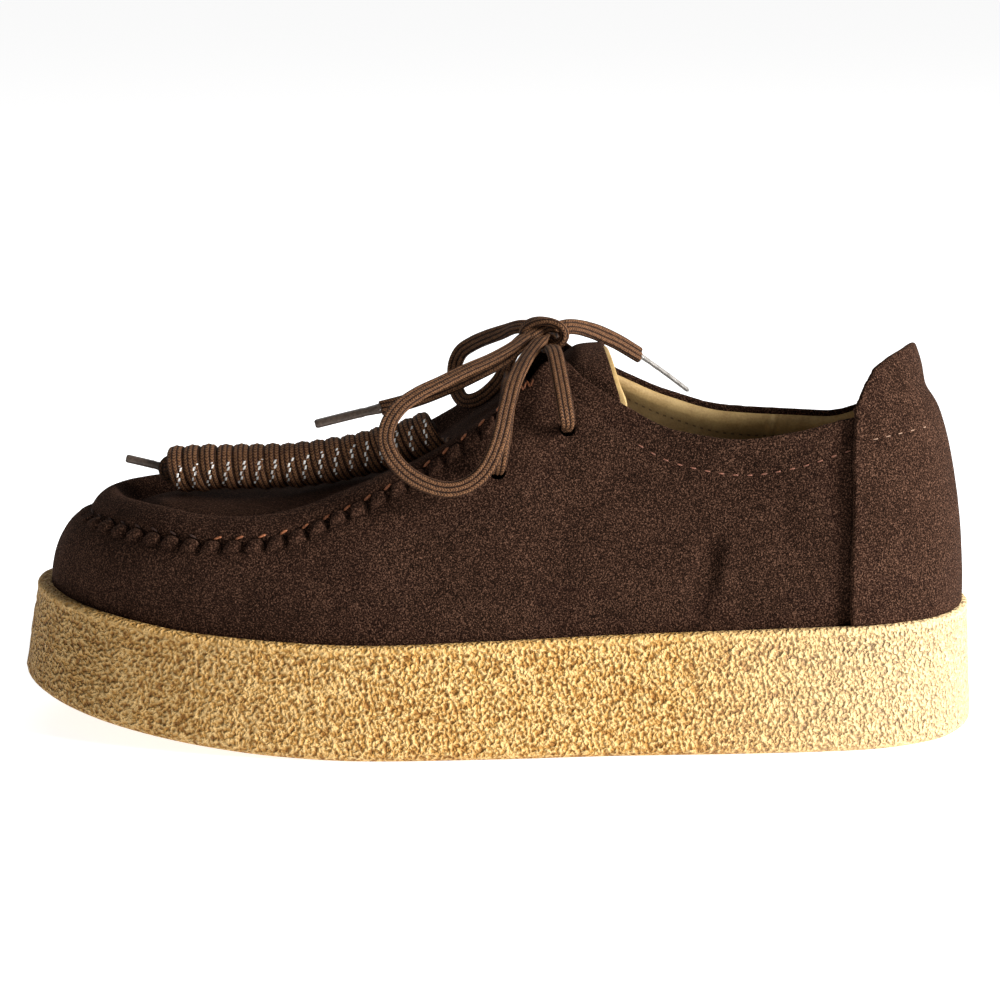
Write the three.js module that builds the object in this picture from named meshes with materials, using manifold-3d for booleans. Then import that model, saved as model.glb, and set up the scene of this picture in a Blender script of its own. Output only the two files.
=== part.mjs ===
// A left platform lace-up shoe: a suede moccasin upper on a thick crepe sole, laced with a bow through
// two pairs of punched holes, with a spare lace wound into a tight hank that lies on the apron.
//
// Millimetres. +Z is up, the toe points to -X and the outer (lateral) side faces -Y. The origin is on the
// floor, at the middle of the platform's length and width.
import * as THREE from "three";
import { mergeVertices } from "three/addons/utils/BufferGeometryUtils.js";
import Module from "manifold-3d";

const wasm = await Module();
wasm.setup();

// Driving dimensions
const soleLength = 280; // platform, toe tip to heel tip
const ballWidth = 104; // platform, across its widest places
const heelHeight = 36.5; // platform's top rim above the floor, at the heel
const toeSpring = 12; // how far the tip of the toe is lifted
const springShare = 0.36; // share of the length over which the toe lifts
const soleDraft = 2; // how far the platform's foot stands out past its rim, along the sides
const toeDraft = 4.2; // the same at the tip of the toe
const footRound = 3; // rounding of the platform's lower edge
const rimRound = 1.2; // rounding of the platform's upper edge
const rimWidth = 4; // rim of the platform that shows round the upper
const seatDepth = 2; // how deep the upper sits in the platform
const upperWall = 2.2; // suede and its lining
const collarHeight = 110; // top corners of the lacing flaps above the floor
const seamToe = -119.5; // the moccasin seam at the toe, along X
const collarHeel = 124.3; // the collar at the back of the heel, along X
const seamLip = 1.7; // how far the gathered seam stands out of the wall
const seamBand = 3.6; // height of the gathered seam
const apronRoll = 5.6; // height of the apron's rolled rim above its seam
const rollWidth = 10.6; // width of the rolled rim
const rollPeak = 3.8; // distance of the roll's crest from the seam
const counterWall = 2; // suede of the heel counter
const counterFront = 100; // the counter's straight front edge, along X
const tabLean = 0.42; // how far the heel tab leans in for each millimetre that it rises
const tabHeight = 111; // the heel tab's highest place above the floor
const tongueWall = 2; // suede and lining of the tongue
const insoleThick = 4; // footbed
const holeRadius = 2.5; // punched lace holes
const laceRadius = 1.5; // lace, as a plain round cord of about its real section
const coilRadius = 6.7; // wound spare lace, over its turns
const coilTurns = 17; // turns of the spare lace
const coilGroove = 0.9; // depth between its turns
const agletRadius = 1.1; // lace tips
const gap = 0.3; // between pieces that touch

// Mesh fineness
const aroundSteps = 92;
const wallSteps = 6;
const apronRowCount = 26;
const cordSides = 8;

// Plan of the platform: shares of its length from the toe, and of its ball width from the middle.
const planRows = [
  { along: 0, lateral: 0.055, medial: 0.055 },
  { along: 0.02, lateral: -0.135, medial: 0.235 },
  { along: 0.06, lateral: -0.262, medial: 0.345 },
  { along: 0.12, lateral: -0.36, medial: 0.425 },
  { along: 0.2, lateral: -0.432, medial: 0.478 },
  { along: 0.28, lateral: -0.475, medial: 0.5 },
  { along: 0.38, lateral: -0.5, medial: 0.472 },
  { along: 0.5, lateral: -0.482, medial: 0.418 },
  { along: 0.62, lateral: -0.45, medial: 0.378 },
  { along: 0.75, lateral: -0.43, medial: 0.372 },
  { along: 0.87, lateral: -0.395, medial: 0.352 },
  { along: 0.95, lateral: -0.303, medial: 0.263 },
  { along: 0.985, lateral: -0.187, medial: 0.147 },
  { along: 1, lateral: -0.02, medial: -0.02 },
];

// Height of the platform's top rim along it, as a share of its height at the heel.
const rimRows = [
  { along: 0, rim: 1.115 },
  { along: 0.1, rim: 1.015 },
  { along: 0.2, rim: 0.935 },
  { along: 0.35, rim: 0.897 },
  { along: 0.5, rim: 0.925 },
  { along: 0.75, rim: 0.975 },
  { along: 1, rim: 1 },
];

// The upper's top edge: the moccasin seam from the toe to the lacing flaps' corners, then the collar.
// Places along it are shares of the edge's own length, sides are shares of the ball width, and heights
// are shares of the flaps' height.
const edgeRows = [
  { along: 0, lateral: 0.03, medial: 0.03, high: 0.562, highMedial: 0.562 },
  { along: 0.034, lateral: -0.145, medial: 0.195, high: 0.552, highMedial: 0.556 },
  { along: 0.105, lateral: -0.285, medial: 0.31, high: 0.543, highMedial: 0.546 },
  { along: 0.162, lateral: -0.34, medial: 0.355, high: 0.538, highMedial: 0.54 },
  { along: 0.222, lateral: -0.36, medial: 0.365, high: 0.548, highMedial: 0.548 },
  { along: 0.262, lateral: -0.36, medial: 0.36, high: 0.57, highMedial: 0.568 },
  { along: 0.309, lateral: -0.35, medial: 0.35, high: 0.617, highMedial: 0.614 },
  { along: 0.36, lateral: -0.334, medial: 0.332, high: 0.674, highMedial: 0.67 },
  { along: 0.41, lateral: -0.313, medial: 0.31, high: 0.738, highMedial: 0.735 },
  { along: 0.455, lateral: -0.29, medial: 0.286, high: 0.808, highMedial: 0.806 },
  { along: 0.521, lateral: -0.23, medial: 0.226, high: 0.925, highMedial: 0.905 },
  { along: 0.549, lateral: -0.187, medial: 0.183, high: 0.985, highMedial: 0.985 },
  { along: 0.566, lateral: -0.18, medial: 0.176, high: 0.988, highMedial: 0.99 },
  { along: 0.59, lateral: -0.214, medial: 0.205, high: 0.946, highMedial: 0.955 },
  { along: 0.635, lateral: -0.252, medial: 0.238, high: 0.884, highMedial: 0.905 },
  { along: 0.696, lateral: -0.282, medial: 0.268, high: 0.82, highMedial: 0.842 },
  { along: 0.77, lateral: -0.3, medial: 0.288, high: 0.798, highMedial: 0.794 },
  { along: 0.834, lateral: -0.305, medial: 0.292, high: 0.818, highMedial: 0.784 },
  { along: 0.896, lateral: -0.292, medial: 0.278, high: 0.852, highMedial: 0.78 },
  { along: 0.96, lateral: -0.22, medial: 0.2, high: 0.872, highMedial: 0.832 },
  { along: 1, lateral: -0.01, medial: -0.01, high: 0.88, highMedial: 0.88 },
];

// How the wall swells between the platform and that edge. belly and shoulder push it out, as shares of
// the ball width; belly stands at rise and shoulder at fall, as shares of the wall's height.
const swellRows = [
  { along: 0, belly: 0.003, rise: 0.5, shoulder: 0.064, fall: 0.06 },
  { along: 0.15, belly: 0.012, rise: 0.5, shoulder: 0.066, fall: 0.08 },
  { along: 0.3, belly: 0.014, rise: 0.45, shoulder: 0.075, fall: 0.16 },
  { along: 0.42, belly: 0.014, rise: 0.4, shoulder: 0.08, fall: 0.26 },
  { along: 0.55, belly: 0.01, rise: 0.38, shoulder: 0.125, fall: 0.24 },
  { along: 0.66, belly: 0.006, rise: 0.35, shoulder: 0.06, fall: 0.34 },
  { along: 0.8, belly: 0.002, rise: 0.35, shoulder: 0.03, fall: 0.4 },
  { along: 0.93, belly: 0, rise: 0.35, shoulder: 0.05, fall: 0.3 },
  { along: 1, belly: 0, rise: 0.35, shoulder: 0.064, fall: 0.25 },
];

// The apron between its seams: how far its middle stands above them and how tall its rolled rim is, as
// shares of the roll's full height, and how far in the rim's crest stands, as a share of its usual
// distance. Places are shares of the edge's own length.
const apronRows = [
  { along: 0, crown: 0.4, roll: 1, spread: 2.1 },
  { along: 0.06, crown: 0.95, roll: 1.02, spread: 1.45 },
  { along: 0.11, crown: 1.18, roll: 1.03, spread: 1.12 },
  { along: 0.18, crown: 1.14, roll: 1.04, spread: 1 },
  { along: 0.25, crown: 1, roll: 1.04, spread: 1 },
  { along: 0.31, crown: 0.5, roll: 0.94, spread: 1 },
  { along: 0.36, crown: -0.08, roll: 0.86, spread: 1 },
  { along: 0.41, crown: -0.62, roll: 0.62, spread: 1 },
  { along: 0.47, crown: -0.6, roll: 0.34, spread: 1 },
  { along: 0.51, crown: -0.45, roll: 0.14, spread: 1 },
];

// Top of the heel tab, from the counter's front edge (0) round to the middle of the back (1), as shares
// of the tab's height. The tab leans over to the outer side, so it is lower on the inner one.
const tabRows = [
  { round: 0, lateral: 0.866, medial: 0.79 },
  { round: 0.035, lateral: 0.895, medial: 0.791 },
  { round: 0.08, lateral: 0.925, medial: 0.793 },
  { round: 0.15, lateral: 0.955, medial: 0.797 },
  { round: 0.22, lateral: 0.97, medial: 0.81 },
  { round: 0.3, lateral: 0.98, medial: 0.845 },
  { round: 0.42, lateral: 0.99, medial: 0.882 },
  { round: 0.54, lateral: 0.996, medial: 0.914 },
  { round: 0.7, lateral: 1, medial: 0.948 },
  { round: 0.86, lateral: 0.997, medial: 0.97 },
  { round: 1, lateral: 0.987, medial: 0.987 },
];

// Tongue: stations from under the apron to its own free end. Places are shares of the tongue's
// length, heights shares of the flaps' height, half widths shares of the ball width.
const tongueStart = -1; // along X
const tongueEnd = 30.2; // along X, at its middle
const tongueSweep = 7; // how much further back its sides reach
const apronBack = 8.3; // the apron's back edge, along X, over the tongue
const tongueRows = [
  { along: 0, high: 0.8, half: 0.19, drop: 0.01 },
  { along: 0.3, high: 0.872, half: 0.2, drop: 0.02 },
  { along: 0.46, high: 0.926, half: 0.215, drop: 0.04 },
  { along: 0.62, high: 0.97, half: 0.235, drop: 0.07 },
  { along: 0.79, high: 1.001, half: 0.245, drop: 0.11 },
  { along: 1, high: 1.008, half: 0.25, drop: 0.14 },
];

// Lace holes on the outer side, along X and above the floor. The inner side has the same.
const holes = [
  { name: "low", x: 0, z: 79.5 },
  { name: "high", x: 19.1, z: 90.5 },
];

// The laces' routes: points chosen by hand.
const lowBarRoute = [
  [0.3, -37.2, 78.6], [0.5, -39.8, 80.6], [1, -39.6, 84.6], [1.7, -37, 89.4],
  [2.4, -34.6, 94.6], [3, -30.8, 99.4], [3.5, -25.4, 102.8], [4, -17, 102.6],
  [4.2, -8, 100.4], [4.2, 0, 100], [4.2, 8, 100.2], [4, 16, 101],
  [3.5, 23.6, 100.6], [3, 28.8, 97.8], [2.4, 32.6, 93.8], [1.7, 36, 89],
  [1, 38.4, 84.4], [0.5, 38.4, 80.6], [0.3, 35.8, 78.6],
];
const highBarRoute = [
  [19.1, -32, 89.6], [19.4, -34.8, 91.6], [19.3, -34.8, 96], [18.6, -31.8, 101.2],
  [17.5, -26.8, 106.8], [16.4, -20.2, 111.2], [15.4, -11, 111.2], [15, 0, 109.4],
  [15.4, 10.4, 111.2], [16.4, 19.4, 111.2], [17.5, 25.8, 106.8], [18.6, 30.8, 101.2],
  [19.3, 33.6, 96], [19.4, 33.2, 91.6], [19.1, 30.4, 89.6],
];
const knotCentre = [14, -1, 114.6];
const knotSize = [15, 13, 6.6];
const nearLoopRoute = [
  [10.8, -2.4, 114.4], [7.8, -6.6, 113], [4.6, -11, 111.4], [-1.4, -17, 109], [-8.4, -22, 106.7],
  [-15.4, -27, 104], [-22, -32, 101.5], [-27.1, -36.5, 98.4], [-30.1, -40, 94.2],
  [-30.6, -42.5, 89.9], [-28.6, -44.5, 85.6], [-24.7, -45.5, 81.6], [-19.5, -46, 78.6],
  [-13.7, -46, 77.2], [-8.5, -45.6, 78.2], [-4.1, -45, 81.4], [-1, -44.2, 86.2],
  [1.2, -42, 92.2], [2.8, -38.2, 98.8], [4.6, -32.4, 104.4], [7, -24.6, 108.2],
  [9.4, -16.8, 110.6], [12, -10.6, 112.8], [14.8, -5.4, 114.2],
];
const farLoopRoute = [
  [10.4, 2, 115.6], [6, 5, 115], [1.8, 10, 112.8], [-3.5, 15, 110.2], [-7.4, 19, 107.8],
  [-10.7, 22, 105], [-12.4, 23, 101.4], [-12.7, 22, 97.4], [-11.9, 19, 93.6],
  [-9.8, 15.6, 91.4], [-6.6, 13.4, 91.8], [-2.6, 12.3, 94.4], [1.2, 11.6, 98.8],
  [3.4, 10, 104.6], [5.6, 7.8, 108.4], [8.4, 5, 110.8], [11.6, 2.4, 112.8],
];
const nearEndRoute = [
  [11, -1.6, 114.2], [7.2, -2.8, 111.8], [2.6, -5.2, 107.8], [-7.7, -8.2, 102.6], [-16.3, -10.4, 99],
  [-24.8, -12.6, 96.2], [-33.2, -14.6, 94.4],
];
const farEndRoute = [
  [17.4, 0.6, 115], [21.2, 2.8, 115.4], [27.2, 8, 113.6], [34.8, 14, 109.6], [42.3, 19.8, 104.4],
];
const nearAgletRoute = [[-33.8, -14.8, 94.3], [-42.9, -16.4, 92.4], [-51.8, -18, 90.4]];
const farAgletRoute = [[42.9, 20.3, 104], [50.6, 27.8, 97.6], [58, 34.6, 91.2]];
const coilRoute = [
  [-97, 0, 73.4], [-82.3, -2, 74.8], [-69, -3, 75.2], [-57.3, -4, 75.9],
  [-45.6, -5, 77.8], [-33.9, -6, 80.7], [-25.1, -7, 83.6], [-15.2, -8, 87.6],
];
const spareAgletRoute = [[-97.7, 0, 74.4], [-102.9, 0, 75.7], [-108.4, 0, 77]];

// Angle round the shoe: 0 at the toe, then down the outer side, a half turn at the heel.
const angleOf = (along) => Math.acos(1 - 2 * along);
const alongOf = (angle) => (1 - Math.cos(angle)) / 2;
const mix = (a, b, t) => a + (b - a) * t;
const clamp01 = (t) => Math.min(1, Math.max(0, t));
const smooth = (t) => clamp01(t) ** 2 * (3 - 2 * clamp01(t));

// A smooth curve through knots that never overshoots them. With a period the knots repeat.
function curveThrough(at, value, period) {
  const n = at.length;
  const wrap = (i) => ((i % n) + n) % n;
  const place = (i) => at[wrap(i)] + (period ? Math.floor(i / n) * period : 0);
  const slope = (i) => (value[wrap(i + 1)] - value[wrap(i)]) / (place(i + 1) - place(i));
  const tangent = (i) => {
    if (!period && (i === 0 || i === n - 1)) return slope(i === 0 ? 0 : n - 2);
    const [before, after] = [slope(i - 1), slope(i)];
    return before * after <= 0 ? 0 : (2 * before * after) / (before + after);
  };
  return (x) => {
    let t = period ? ((x % period) + period) % period : Math.min(Math.max(x, at[0]), at[n - 1]);
    if (t < at[0]) t += period;
    let i = 0;
    while (i < (period ? n - 1 : n - 2) && t >= place(i + 1)) i += 1;
    const h = place(i + 1) - place(i);
    const s = (t - place(i)) / h;
    const a = value[wrap(i)];
    const b = value[wrap(i + 1)];
    return (
      a * (1 + 2 * s) * (1 - s) ** 2 +
      b * s * s * (3 - 2 * s) +
      h * tangent(i) * s * (1 - s) ** 2 +
      h * tangent(i + 1) * s * s * (s - 1)
    );
  };
}

const column = (rows, key, place = "along") =>
  curveThrough(rows.map((r) => r[place]), rows.map((r) => r[key]));

// A column pair of a table, outer and inner side, as one curve round the shoe.
function roundCurve(rows, outer, inner) {
  const back = rows.slice(1, -1).reverse();
  return curveThrough(
    [...rows.map((r) => angleOf(r.along)), ...back.map((r) => 2 * Math.PI - angleOf(r.along))],
    [...rows.map((r) => r[outer]), ...back.map((r) => r[inner])],
    2 * Math.PI,
  );
}

const planSide = roundCurve(planRows, "lateral", "medial");
const edgeSide = roundCurve(edgeRows, "lateral", "medial");
const edgeHigh = roundCurve(edgeRows, "high", "highMedial");
const rimShare = column(rimRows, "rim");
const belly = column(swellRows, "belly");
const rise = column(swellRows, "rise");
const shoulder = column(swellRows, "shoulder");
const fall = column(swellRows, "fall");

const planPoint = (angle) =>
  new THREE.Vector2(soleLength * (alongOf(angle) - 0.5), ballWidth * planSide(angle));
function planOut(angle) {
  const step = planPoint(angle + 0.02).sub(planPoint(angle - 0.02));
  return new THREE.Vector2(step.y, -step.x).normalize();
}
const draft = (angle) => mix(soleDraft, toeDraft, ((1 + Math.cos(angle)) / 2) ** 3);
const underHeight = (along) => toeSpring * Math.max(0, 1 - along / springShare) ** 2;
const rimHeight = (along) => heelHeight * rimShare(along);

// A point of the platform's plan, moved in by inset, at height z.
function planAt(angle, inset, z) {
  const p = planPoint(angle).addScaledVector(planOut(angle), -inset);
  return new THREE.Vector3(p.x, p.y, z);
}
const featherInset = (angle) => draft(angle) + rimWidth;
const seatHeight = (along) => rimHeight(along) - seatDepth;

// Points of the upper's wall: the feather line where it leaves the platform, and its top edge.
const featherAt = (angle) => planAt(angle, featherInset(angle), seatHeight(alongOf(angle)) + gap);
const edgeAt = (angle) =>
  new THREE.Vector3(
    mix(seamToe, collarHeel, alongOf(angle)),
    ballWidth * edgeSide(angle),
    collarHeight * edgeHigh(angle),
  );
const seamEnd = 0.53; // the seam ends here in a bar tack, as a share of the top edge's length
const seamStrength = (angle) => 1 - smooth((alongOf(angle) - seamEnd + 0.02) / 0.02);

// The wall between them at an angle: a cubic curve with its belly and shoulder.
function wallCurve(angle) {
  const along = alongOf(angle);
  const out = planOut(angle);
  const outward = new THREE.Vector3(out.x, out.y, 0);
  const foot = featherAt(angle);
  const top = edgeAt(angle);
  const height = top.z - foot.z;
  const low = foot.clone().addScaledVector(outward, ballWidth * belly(along));
  low.z += height * rise(along);
  const high = top.clone().addScaledVector(outward, ballWidth * shoulder(along));
  high.z -= height * fall(along);
  return new THREE.CubicBezierCurve3(foot, low, high, top);
}

// The wall at a height. Above its top edge it goes on, leaning in.
function wallAt(angle, z) {
  const curve = wallCurve(angle);
  const top = curve.v3;
  if (z >= top.z) {
    const out = planOut(angle);
    const rest = z - top.z;
    return new THREE.Vector3(top.x - out.x * tabLean * rest, top.y - out.y * tabLean * rest, z);
  }
  let [a, b] = [0, 1];
  for (let i = 0; i < 30; i += 1) {
    const middle = (a + b) / 2;
    if (curve.getPoint(middle).z < z) a = middle;
    else b = middle;
  }
  return curve.getPoint((a + b) / 2);
}

// A grid of points moved along its own normals. looped says that its rows join up.
function offsetGrid(grid, distance, looped) {
  const n = grid.length;
  return grid.map((row, i) =>
    row.map((p, j) => {
      const before = grid[looped ? (i + n - 1) % n : Math.max(i - 1, 0)][j];
      const after = grid[looped ? (i + 1) % n : Math.min(i + 1, n - 1)][j];
      const down = row[Math.max(j - 1, 0)];
      const up = row[Math.min(j + 1, row.length - 1)];
      const normal = after.clone().sub(before).cross(up.clone().sub(down)).normalize();
      return p.clone().addScaledVector(normal, distance);
    }),
  );
}

// A closed body from rings of points: each ring is a closed outline. Open ends get a fan, unless the
// first ring is folded flat on itself.
function bodyOfRings(rings, looped, folded = false) {
  const count = rings[0].length;
  const points = rings.flat();
  const faces = [];
  const bands = looped ? rings.length : rings.length - 1;
  for (let i = 0; i < bands; i += 1)
    for (let j = 0; j < count; j += 1) {
      const a = i * count + j;
      const b = i * count + ((j + 1) % count);
      const c = ((i + 1) % rings.length) * count + ((j + 1) % count);
      const d = ((i + 1) % rings.length) * count + j;
      faces.push(a, b, c, a, c, d);
    }
  if (!looped) {
    const last = (rings.length - 1) * count;
    for (let j = 1; j + 1 < count; j += 1) {
      if (!folded) faces.push(0, j + 1, j);
      faces.push(last, last + j, last + j + 1);
    }
  }
  return geometryOf(points, faces);
}

function geometryOf(points, faces) {
  const geometry = new THREE.BufferGeometry().setFromPoints(points);
  geometry.setIndex(faces);
  return geometry;
}

// A closed body from flat-ish rings stacked round the shoe, closed by rungs from side to side.
function bodyOfLevels(levels) {
  const count = levels[0].length;
  const faces = [];
  for (let i = 0; i + 1 < levels.length; i += 1)
    for (let j = 0; j < count; j += 1) {
      const a = i * count + j;
      const b = i * count + ((j + 1) % count);
      faces.push(a, b, b + count, a, b + count, a + count);
    }
  const rungs = (base, flip) => {
    for (let j = 0; j < count / 2; j += 1) {
      const [a, b] = [j, j + 1];
      const [c, d] = [(count - j) % count, count - j - 1];
      const quad = [];
      if (b !== d) quad.push([a, b, d]);
      if (a !== c) quad.push([a, d, c]);
      quad.forEach((t) => faces.push(...(flip ? [t[0], t[2], t[1]] : t).map((k) => base + k)));
    }
  };
  rungs(0, true);
  rungs((levels.length - 1) * count, false);
  return geometryOf(levels.flat(), faces);
}

// three.js geometry to a solid that can be cut and joined, and back.
function solidOf(geometry) {
  const bare = geometry.clone();
  bare.deleteAttribute("normal");
  bare.deleteAttribute("uv");
  const merged = mergeVertices(bare, 1e-4);
  const make = (triVerts) =>
    new wasm.Manifold(
      new wasm.Mesh({ numProp: 3, vertProperties: merged.attributes.position.array, triVerts }),
    );
  const corners = merged.index.array;
  const kept = [];
  for (let i = 0; i < corners.length; i += 3) {
    const [a, b, c] = [corners[i], corners[i + 1], corners[i + 2]];
    if (a !== b && b !== c && c !== a) kept.push(a, b, c);
  }
  const indices = new Uint32Array(kept);
  const made = make(indices);
  if (made.volume() > 0) return made;
  for (let i = 0; i < indices.length; i += 3)
    [indices[i + 1], indices[i + 2]] = [indices[i + 2], indices[i + 1]];
  return make(indices);
}

function geometryOfSolid(solid) {
  const mesh = solid.getMesh();
  const geometry = new THREE.BufferGeometry();
  const position = new Float32Array(mesh.numVert * 3);
  for (let i = 0; i < mesh.numVert; i += 1)
    for (let k = 0; k < 3; k += 1)
      position[i * 3 + k] = mesh.vertProperties[i * mesh.numProp + k];
  geometry.setAttribute("position", new THREE.BufferAttribute(position, 3));
  geometry.setIndex(new THREE.BufferAttribute(mesh.triVerts, 1));
  return geometry;
}

const angles = Array.from({ length: aroundSteps }, (_, i) => (2 * Math.PI * i) / aroundSteps);

// Crepe platform: foot, drafted side, rounded rim, and the seat that the upper stands in.
function outsoleSolid() {
  const level = (inset, height) =>
    angles.map((a) => planAt(a, inset(a), height(alongOf(a))));
  const seatEdge = (a) => featherInset(a) - 2 * gap;
  return solidOf(
    bodyOfLevels([
      level(() => footRound, (s) => underHeight(s)),
      level(() => footRound * 0.3, (s) => underHeight(s) + footRound * 0.3),
      level(() => 0, (s) => underHeight(s) + footRound),
      level((a) => draft(a), (s) => rimHeight(s) - rimRound),
      level((a) => draft(a) + rimRound, (s) => rimHeight(s)),
      level(seatEdge, (s) => rimHeight(s)),
      level(seatEdge, (s) => seatHeight(s)),
    ]),
  );
}

// Levels of the wall's outer grid: shares of its curve below the gathered seam, then the seam.
const seamFoot = (curve) => 1 - seamBand / (curve.v3.z - curve.v0.z) / 1.15;
const seamLevels = [
  { share: 0.03, lip: 1 },
  { share: 0.94, lip: 0.9 },
  { share: 1, lip: 0 },
];

// Direction square to the wall at a share of its curve.
function wallNormal(angle, share) {
  const round = wallCurve(angle + 0.01).getPoint(share).sub(wallCurve(angle - 0.01).getPoint(share));
  return round.cross(wallCurve(angle).getTangent(share)).normalize();
}

// Outer side of the upper's wall as a grid: round the shoe, then up.
function wallGrid() {
  return angles.map((angle) => {
    const curve = wallCurve(angle);
    const foot = seamFoot(curve);
    const low = Array.from({ length: wallSteps }, (_, i) => curve.getPoint((foot * i) / (wallSteps - 1)));
    const seam = seamLevels.map(({ share, lip }) => {
      const place = mix(foot, 1, share);
      const push = seamLip * lip * seamStrength(angle);
      return curve.getPoint(place).addScaledVector(wallNormal(angle, place), push);
    });
    return [...low, ...seam];
  });
}

// Inner side of the wall: the plain curve moved in by the wall's thickness.
function liningGrid(extra) {
  const levels = [0, 0.28, 0.55, 0.8, 1];
  const bare = angles.map((angle) => levels.map((t) => wallCurve(angle).getPoint(t)));
  return offsetGrid(bare, -upperWall - extra, true);
}

// The wall as a closed shell, or grown by extra on every side.
function wallSolid(extra) {
  const outer = wallGrid();
  const skin = extra ? offsetGrid(outer, extra, true) : outer;
  const inner = liningGrid(extra);
  const rings = angles.map((angle, i) => {
    const rise = wallCurve(angle).getTangent(1).multiplyScalar(extra);
    inner[i][0].z = skin[i][0].z;
    skin[i][skin[i].length - 1].add(rise);
    inner[i][inner[i].length - 1].add(rise);
    return [...skin[i], ...inner[i].slice().reverse()];
  });
  return solidOf(bodyOfRings(rings, true));
}

// The apron: a plate across the seams whose rim rolls up and whose middle is crowned.
const apronCrown = column(apronRows, "crown");
const apronRollShare = column(apronRows, "roll");
const rollSpread = column(apronRows, "spread");
const shareAtX = (x) => (x - seamToe) / (collarHeel - seamToe);
const underRoll = 0.5; // how much of the roll its underside follows
const crownReach = 0.355 * ballWidth; // distance from the seam at which the crown is full

// Places of the roll: in from the seam, as a share of its crest's distance, then past it in millimetres.
const rollRows = [
  { share: 0.21, past: 0 },
  { share: 0.58, past: 0 },
  { share: 1, past: 0 },
  { share: 1, past: 2.2 },
  { share: 1, past: 4.6 },
  { share: 1, past: rollWidth - rollPeak },
];
const innerShares = [0.17, 0.34, 0.5, 0.66, 0.83]; // places between the two rolls

// A point of the apron's top, or of its underside, on a level point at a distance from the seam.
function apronPoint(along, p, distance, climb, under) {
  const crown = 1 - (1 - clamp01(distance / crownReach)) ** 2.2;
  const bead = apronRollShare(along) * climb * (under ? underRoll : 1);
  const height = apronRoll * (apronCrown(along) * crown + bead);
  return new THREE.Vector3(p.x, p.y, p.z + height - (under ? upperWall : 0));
}

// Direction in which the apron runs in from its seam: square to it round the toe, then straight across.
function inward(angle) {
  const step = edgeAt(angle + 0.01).sub(edgeAt(angle - 0.01));
  const across = edgeAt(-angle).sub(edgeAt(angle)).setZ(0);
  const square = new THREE.Vector3(-step.y, step.x, 0).normalize();
  const share = smooth((alongOf(angle) - 0.04) / 0.2);
  return square.multiplyScalar(1 - share).add(across.normalize().multiplyScalar(share)).normalize();
}

// One side of a row of the apron: from the seam at an angle to the inner foot of its roll.
function rollSide(angle, under) {
  const along = alongOf(angle);
  const peak = rollPeak * rollSpread(along);
  return rollRows.map(({ share, past }) => {
    const distance = share * peak + past;
    const climb =
      past > 0
        ? Math.cos((Math.PI / 2) * (past / (rollWidth - rollPeak))) ** 2
        : Math.sin((Math.PI / 2) * share);
    const level = edgeAt(angle).addScaledVector(inward(angle), distance);
    return { level, distance, point: apronPoint(along, level, distance, climb, under) };
  });
}

function apronRow(angle, under) {
  const [outer, inner] = [rollSide(angle, under), rollSide(-angle, under)];
  const [a, b] = [outer[outer.length - 1], inner[inner.length - 1]];
  const middle = innerShares.map((t) => {
    const level = a.level.clone().lerp(b.level, t);
    const distance = a.distance + Math.min(t, 1 - t) * a.level.distanceTo(b.level);
    return apronPoint(alongOf(angle), level, distance, 0, under);
  });
  return [...outer.map((q) => q.point), ...middle, ...inner.map((q) => q.point).reverse()];
}

// A point in the middle of the wall's thickness under the seam, where the apron is let in.
const letIn = (angle, lift) =>
  wallCurve(angle).getPoint(0.96).addScaledVector(wallNormal(angle, 0.96), lift - upperWall / 2);

function apronSolid() {
  const last = angleOf(shareAtX(apronBack));
  const rings = Array.from({ length: apronRowCount + 1 }, (_, i) => {
    const angle = (last * i) / apronRowCount;
    return [
      letIn(angle, 0.5),
      ...apronRow(angle, false),
      letIn(-angle, 0.5),
      letIn(-angle, -0.5),
      ...apronRow(angle, true).reverse(),
      letIn(angle, -0.5),
    ];
  });
  return solidOf(bodyOfRings(rings, false, true));
}

// A straight cutter through the wall at a lace hole.
function holeCutter(hole, side) {
  const angle = angleAtX(hole.x, hole.z, side);
  const p = wallAt(angle, hole.z);
  const cutter = new THREE.CylinderGeometry(holeRadius, holeRadius, 14, 16);
  const out = planOut(angle);
  const lift = 0.35;
  const axis = new THREE.Vector3(out.x, out.y, lift).normalize();
  cutter.applyQuaternion(new THREE.Quaternion().setFromUnitVectors(new THREE.Vector3(0, 1, 0), axis));
  cutter.translate(p.x, p.y, p.z);
  return solidOf(cutter);
}

// The angle at which the wall has a place along X at a height, on a side.
function angleAtX(x, z, side) {
  let [a, b] = [0.02, Math.PI - 0.02];
  for (let i = 0; i < 40; i += 1) {
    const middle = (a + b) / 2;
    const p = wallAt(side < 0 ? middle : 2 * Math.PI - middle, z);
    if (p.x < x) a = middle;
    else b = middle;
  }
  return side < 0 ? a : 2 * Math.PI - a;
}

function upperSolid() {
  let solid = wallSolid(0).add(apronSolid());
  for (const hole of holes)
    for (const side of [-1, 1]) solid = solid.subtract(holeCutter(hole, side));
  return solid;
}

// Tongue: an arched plate that goes on from the apron under the lacing flaps.
function tongueSolid() {
  const high = column(tongueRows, "high");
  const half = column(tongueRows, "half");
  const drop = column(tongueRows, "drop");
  const steps = 9;
  const across = 12;
  const grid = Array.from({ length: steps + 1 }, (_, i) => {
    const u = i / steps;
    return Array.from({ length: across + 1 }, (_, j) => {
      const side = (2 * j) / across - 1;
      const end = tongueEnd + tongueSweep * Math.abs(side) ** 2;
      return new THREE.Vector3(
        mix(tongueStart, end, u),
        ballWidth * half(u) * side,
        collarHeight * (high(u) - drop(u) * Math.abs(side) ** 2.6),
      );
    });
  });
  const under = offsetGrid(grid, -tongueWall, false).map((row) => row.slice().reverse());
  const plate = solidOf(bodyOfRings(grid.map((row, i) => [...row, ...under[i]]), false));
  return largest(plate.subtract(wallSolid(1.6 * gap)));
}

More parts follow.
